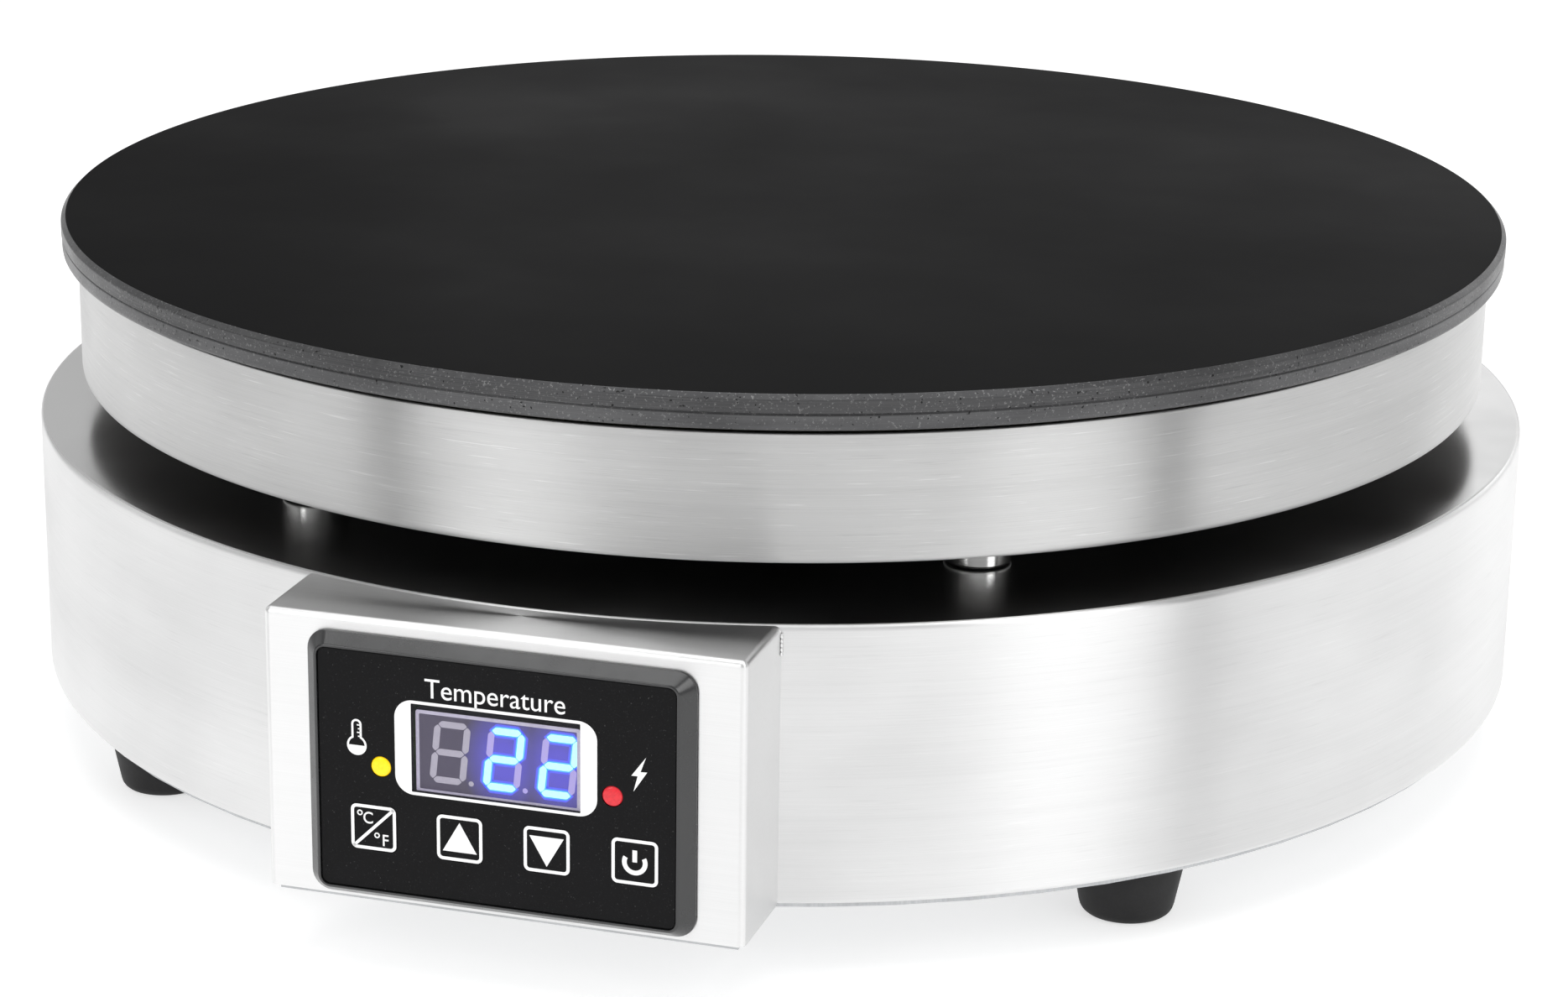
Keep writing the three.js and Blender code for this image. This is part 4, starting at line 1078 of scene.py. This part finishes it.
def triangle_icon(sign):
    points = [(-4.3, -3.6 * sign), (4.3, -3.6 * sign), (0, 3.9 * sign)]
    if sign < 0:
        points.reverse()
    return [flat_mesh("triangle", [[(x * MM, (y + 0.2 * sign) * MM) for x, y in points]], 0, INK)]


def power_icon():
    outer, inner = 3.15 * MM, 2.0 * MM
    arc = circle(0, -0.1 * MM, outer, 36, 152, 388) + circle(0, -0.1 * MM, inner, 36, 388, 152)
    bar = thick_line(0, 3.0 * MM, 0, 0.0, 1.15 * MM)
    return [flat_mesh("power arc", [arc], 0, INK), flat_mesh("power bar", [bar], 0, INK)]


def add_keys(film, ink):
    icons = {"key_unit": unit_icon, "key_up": lambda w, h: triangle_icon(1),
             "key_down": lambda w, h: triangle_icon(-1), "key_power": lambda w, h: power_icon()}
    for key in KEYS:
        x, y, half_wide, half_tall = key_place(key)
        low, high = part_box(key)
        back = film_low.y - high.y
        lip_front = -FILM_THICK - 0.3 * MM
        sections = [
            ((half_wide + 0.9 * MM, half_tall + 0.9 * MM, 0.5 * MM, lip_front - 0.8 * MM), 0),
            ((half_wide + 0.9 * MM, half_tall + 0.9 * MM, 0.5 * MM, lip_front), 0),
            ((half_wide, half_tall, 1.6 * MM, lip_front), 0),
            ((half_wide, half_tall, 1.6 * MM, 0), 0.12 * MM),
            ((half_wide - 1 * MM, half_tall - 1 * MM, 1 * MM, 0), 0),
        ]
        cap = frame_loft(key, sections, 3, ring=False)
        stem = round_bar("stem", 1.7 * MM, back, lip_front - 0.7 * MM, 24)
        outline = key_outline(half_wide - 0.1 * MM, half_tall - 0.1 * MM)
        print_meshes = [outline, *icons[key](half_wide, half_tall)]
        mesh = joined(key, [cap, stem, *print_meshes], [0, 0] + [1] * len(print_meshes))
        name = key.replace("key_", "") + "_button"
        piece(name, mesh, [film, ink], [key], body=key, place=PANEL @ at(x, y), sharp=25)


def add_lamps(yellow, red):
    for lamp, surface, slot in zip(LAMPS, (yellow, red), ("yellow_lamp", "red_lamp")):
        low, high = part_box(lamp)
        x, y = panel_centre(low, high)
        back = film_low.y - high.y
        radius = 2.5 * MM
        dome = [(radius * math.cos(math.radians(a)), -0.35 * MM + 0.7 * MM * math.sin(math.radians(a)))
                for a in range(0, 86, 12)]
        profile = [(0, back), (radius, back)] + dome + [(0, 0.35 * MM)]
        mesh = lathe(lamp, profile, 48)
        piece(lamp + "_lens", mesh, [surface], [lamp], place=PANEL @ at(x, y), sharp=50)


# Segments of one digit as (x, y, upright), in half widths and half heights of the digit.
SEGMENTS = {
    "top": (0, 1, False), "middle": (0, 0, False), "bottom": (0, -1, False),
    "upper_left": (-1, 0.5, True), "upper_right": (1, 0.5, True),
    "lower_left": (-1, -0.5, True), "lower_right": (1, -0.5, True),
}
TWO = ("top", "upper_right", "middle", "lower_left", "bottom")
DIGIT_PLACES = [-12.0 * MM, 1.55 * MM, 15.2 * MM]
DIGIT_HALF_WIDTH = 3.75 * MM
DIGIT_HALF_HEIGHT = 7.05 * MM
SLANT = math.tan(math.radians(6))


def segment(name, centre_x, grow, back, front):
    """One bar of a digit. grow widens it on every side."""
    place_x, place_y, upright = SEGMENTS[name]
    x = place_x * DIGIT_HALF_WIDTH
    y = place_y * DIGIT_HALF_HEIGHT
    length = (DIGIT_HALF_HEIGHT if upright else 2 * DIGIT_HALF_WIDTH) / 2 - 0.25 * MM + grow
    half = 0.7 * MM + grow
    corners = [(-length, 0), (-length + half, -half), (length - half, -half), (length, 0),
               (length - half, half), (-length + half, half)]
    points = [((px, py, 0), 0.3 * MM) for px, py in corners]
    loop = []
    for point in soft_corners(points, True, 3):
        px, py = (-point.y, point.x) if upright else (point.x, point.y)
        loop.append((centre_x + x + px + (y + py) * SLANT, y + py))
    return flat_mesh(name, [loop], back, front)


def add_display(case, border_with_painted_glow, face, surfaces_by_layer):
    low, high = module_low, module_high
    x, y = panel_centre(low, high)
    half_wide, half_tall = half_size(low, high)
    front = film_low.y - low.y
    back = film_low.y - high.y
    sections = [
        ((half_wide, half_tall, 0.6 * MM, back), 0),
        ((half_wide, half_tall, 0.6 * MM, front), 0.2 * MM),
        ((half_wide - 0.5 * MM, half_tall - 0.5 * MM, 0.4 * MM, front), 0),
    ]
    body = frame_loft("case", sections, 3, ring=False)
    outer = rounded_loop(half_wide - 0.1 * MM, half_tall - 0.1 * MM, 0.6 * MM, 0, 4)
    inner = rounded_loop(half_wide - 0.95 * MM, half_tall - 0.95 * MM, 0.3 * MM, 0, 4)
    rim = flat_mesh("rim", [outer, inner[::-1]], front, front + 0.12 * MM)
    pane = flat_mesh("pane", [inner], front, front + 0.04 * MM)
    surfaces = [case, border_with_painted_glow, face]
    mesh = joined("display", [body, rim, pane], [0, 1, 2])
    piece("display_unit", mesh, surfaces, ["display_module"], place=PANEL @ at(x, y))

    lift = front + 0.04 * MM
    level = 0.35 * MM
    layers = {name: [] for name in surfaces_by_layer}
    for index, centre in enumerate(DIGIT_PLACES):
        for name in SEGMENTS:
            if index > 0 and name in TWO:
                layers["wide_glow"].append(segment(name, centre, 1.0 * MM, lift, lift + 0.02 * MM))
                layers["near_glow"].append(segment(name, centre, 0.5 * MM, lift, lift + 0.04 * MM))
                layers["lit_segments"].append(segment(name, centre, 0.16 * MM, lift, lift + 0.06 * MM))
            else:
                # Segments that are off take a painted glow so they read lighter than the face.
                layer = "unlit_segments_painted_glow" if index == 0 else "unlit_segments_painted_blue_glow"
                layers[layer].append(segment(name, centre, 0.12 * MM, lift, lift + 0.03 * MM))
        if index < 2:
            dot = circle(centre + DIGIT_HALF_WIDTH + 1.5 * MM, -DIGIT_HALF_HEIGHT - 0.1 * MM, 0.65 * MM, 20)
            layer = "unlit_segments_painted_glow" if index == 0 else "unlit_segments_painted_blue_glow"
            layers[layer].append(flat_mesh("dot", [dot], lift, lift + 0.03 * MM))
    for name, meshes in layers.items():
        surface = surfaces_by_layer[name]
        piece(name, joined(name, meshes), [surface], place=PANEL @ at(0, y + level))


def add_window(tint):
    x, y = panel_centre(window_low, window_high)
    half_wide, half_tall = (half - 0.03 * MM for half in half_size(window_low, window_high))
    sections = [
        ((half_wide, half_tall, 0.15 * MM, -0.5 * MM), 0),
        ((half_wide, half_tall, 0.15 * MM, -0.02 * MM), 0.1 * MM),
        ((half_wide - 0.5 * MM, half_tall - 0.5 * MM, 0.1 * MM, -0.02 * MM), 0),
    ]
    mesh = frame_loft("window", sections, 2, ring=False)
    return piece("window_pane", mesh, [tint], ["display_window"], place=PANEL @ at(x, y))


# ---------- CAD pieces that keep their shape ----------

def finish_cad_nodes(surfaces):
    """Gives every CAD node that still shows its procedural material."""
    for name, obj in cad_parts.items():
        if obj.hide_render:
            continue
        surface = next((surfaces[key] for key in surfaces if name.startswith(key)), surfaces["default"])
        obj.data.materials.clear()
        obj.data.materials.append(surface.material)


# ---------- studio ----------

def add_floor():
    bm = bmesh.new()
    bmesh.ops.create_grid(bm, x_segments=8, y_segments=8, size=20)
    mesh = bpy.data.meshes.new("floor")
    bm.to_mesh(mesh)
    bm.free()
    floor = add_object("floor", mesh)
    mesh.materials.append(make_floor().material)


def add_softbox(name, azimuth, elevation, distance, width, height, power, aim=0.08):
    """Area light at a direction from the object: azimuth 0 is in front of the panel, 90 on its right."""
    light = bpy.data.lights.new(name, "AREA")
    light.shape = "RECTANGLE"
    light.size = width
    light.size_y = height
    light.energy = power
    lamp = add_object(name, light)
    a, e = math.radians(azimuth), math.radians(elevation)
    out = Vector((math.sin(a) * math.cos(e), -math.cos(a) * math.cos(e), math.sin(e)))
    lamp.location = out * distance + Vector((0, 0, aim))
    lamp.rotation_euler = out.to_track_quat("Z", "Y").to_euler()
    lamp.visible_camera = False


def add_world(strength):
    world = bpy.data.worlds.new("studio")
    world.use_nodes = True
    background = world.node_tree.nodes["Background"]
    background.inputs["Color"].default_value = (1.0, 1.0, 1.0, 1)
    background.inputs["Strength"].default_value = strength
    bpy.context.scene.world = world


def add_camera():
    """Camera to the front right of the panel, a little above the plate."""
    azimuth, elevation = math.radians(CAMERA_AZIMUTH), math.radians(CAMERA_ELEVATION)
    target = Vector((0, 0, plate_high.z - 1.3 * MM))
    out = Vector((math.sin(azimuth) * math.cos(elevation), -math.cos(azimuth) * math.cos(elevation),
                  math.sin(elevation)))
    forward = -out
    right = Vector((math.cos(azimuth), math.sin(azimuth), 0))
    up = right.cross(forward)
    yaw, pitch, roll = (math.radians(angle) for angle in CAMERA_TURN)
    turned = forward * math.cos(yaw) + right * math.sin(yaw)
    right = right * math.cos(yaw) - forward * math.sin(yaw)
    tilted = turned * math.cos(pitch) + up * math.sin(pitch)
    up = up * math.cos(pitch) - turned * math.sin(pitch)
    level_right = right * math.cos(roll) + up * math.sin(roll)
    level_up = up * math.cos(roll) - right * math.sin(roll)
    data = bpy.data.cameras.new("camera")
    data.sensor_fit = "HORIZONTAL"
    data.sensor_width = 36
    data.lens = CAMERA_LENS
    data.clip_start = 0.05
    data.clip_end = 100
    camera = add_object("camera", data)
    basis = Matrix((level_right, level_up, -tilted)).transposed().to_4x4()
    camera.matrix_world = Matrix.Translation(target + out * CAMERA_DISTANCE) @ basis
    bpy.context.scene.camera = camera


def add_flag(azimuth, distance, width, height):
    """Black card that darkens a narrow reflection in the turned steel. No camera sees it."""
    a = math.radians(azimuth)
    out = Vector((math.sin(a), -math.cos(a), 0))
    side = Vector((math.cos(a), math.sin(a), 0)) * width / 2
    foot = out * distance + Vector((0, 0, 2 * MM))
    top = foot + Vector((0, 0, height))
    mesh = mesh_from("flag", [foot - side, foot + side, top + side, top - side], [(0, 1, 2, 3)])
    flag = add_object("flag", mesh)
    mesh.materials.append(make_flag_cloth().material)
    flag.visible_camera = False
    flag.visible_shadow = False
    flag.visible_diffuse = False


def add_studio():
    add_floor()
    add_world(0.5)
    add_softbox("front left", CAMERA_AZIMUTH - 43, 30, 1.7, 0.6, 0.9, 4.6)
    add_softbox("front right", CAMERA_AZIMUTH + 42, 30, 1.7, 0.6, 0.9, 4.6)
    add_softbox("left", -100, 30, 1.6, 1.0, 1.0, 1.1)
    add_softbox("right", 115, 30, 1.6, 1.0, 1.0, 0.9)
    add_softbox("back", 181, 14, 2.1, 1.8, 0.6, 1.5)
    add_softbox("back right", 150, 18, 2.0, 0.9, 0.6, 1.4)
    add_softbox("top", 16, 88, 1.7, 1.6, 1.6, 14)
    add_flag(CAMERA_AZIMUTH - 49.4, 0.475, 0.05, 0.45)
    add_flag(CAMERA_AZIMUTH + 49.4, 0.475, 0.05, 0.45)
    bpy.context.scene.view_settings.view_transform = "Standard"


# ---------- assembly ----------

def build():
    rim = make_plate_rim()
    add_plate(make_plate_top(), rim)
    drum_steel = make_brushed_steel("drum steel", (0.62, 0.62, 0.617), (0.47, 0.47, 0.47), 0.36, 0.95)
    add_drum(drum_steel, make_drum_underside_painted_shade())
    base_steel = make_brushed_steel("base steel", (0.85, 0.85, 0.85), (0.74, 0.74, 0.74), 0.36, 0.95)
    add_base(base_steel, make_sheet_top())
    box_steel = make_box_steel()
    add_control_box(box_steel)
    add_box_weld(box_steel)
    add_posts(make_polished_steel())
    rubber = make_moulding("rubber", (0.012, 0.012, 0.0125), 0.6, 1500.0, 0.00004)
    rubber.shader.inputs["Specular IOR Level"].default_value = 0.3
    add_feet(rubber)
    nylon = make_moulding("black nylon", (0.014, 0.014, 0.0145), 0.42)
    add_gland(nylon)

    bezel = make_moulding("bezel plastic", (0.016, 0.0165, 0.0175), 0.24)
    bezel.shader.inputs["Specular IOR Level"].default_value = 0.75
    add_bezel(bezel)
    film = make_film()
    ink = make_print_with_painted_glow()
    add_film(film)
    add_panel_print(ink)
    add_keys(film, ink)
    add_lamps(
        make_glow("yellow lens", (0.85, 0.58, 0.005), (1.0, 0.66, 0.0), 0.55, (0.75, 0.42, 0.0)),
        make_glow("red lens", (0.6, 0.02, 0.03), (0.6, 0.02, 0.03), 0.5, (0.3, 0.008, 0.015)),
    )
    display_level = (module_low.z + module_high.z) / 2
    add_display(
        make_moulding("display case", (0.03, 0.03, 0.034), 0.45),
        # The display rim's emission is a painted glow that lifts its lavender border out of the pane's
        # shade.
        make_glow("display rim", (0.6, 0.58, 0.68), (0.36, 0.33, 0.45), 0.9, (0.36, 0.33, 0.45)),
        make_display_face(DIGIT_PLACES[1:], display_level),
        make_digit_layers(),
    )
    add_window(make_window_tint())

    board = make_moulding("circuit board", (0.02, 0.14, 0.06), 0.5, 700.0)
    pale = make_moulding("pale moulding", (0.6, 0.58, 0.5), 0.5)
    zinc = make_zinc()
    finish_cad_nodes({
        "bottom_cover": make_galvanised_sheet(),
        "heating_element": make_moulding("heater sheath", (0.08, 0.07, 0.062), 0.5, 900.0),
        "insulation_pad": make_moulding("mineral wool", (0.6, 0.55, 0.44), 0.9, 700.0, 0.0002),
        "thermal_cutout": make_moulding("phenolic", (0.06, 0.035, 0.025), 0.4),
        "key_switch": nylon,
        "control_board": board,
        "power_relay": pale,
        "terminal_block": pale,
        "gland_locknut": nylon,
        "default": zinc,
    })


build()
add_camera()
add_studio()
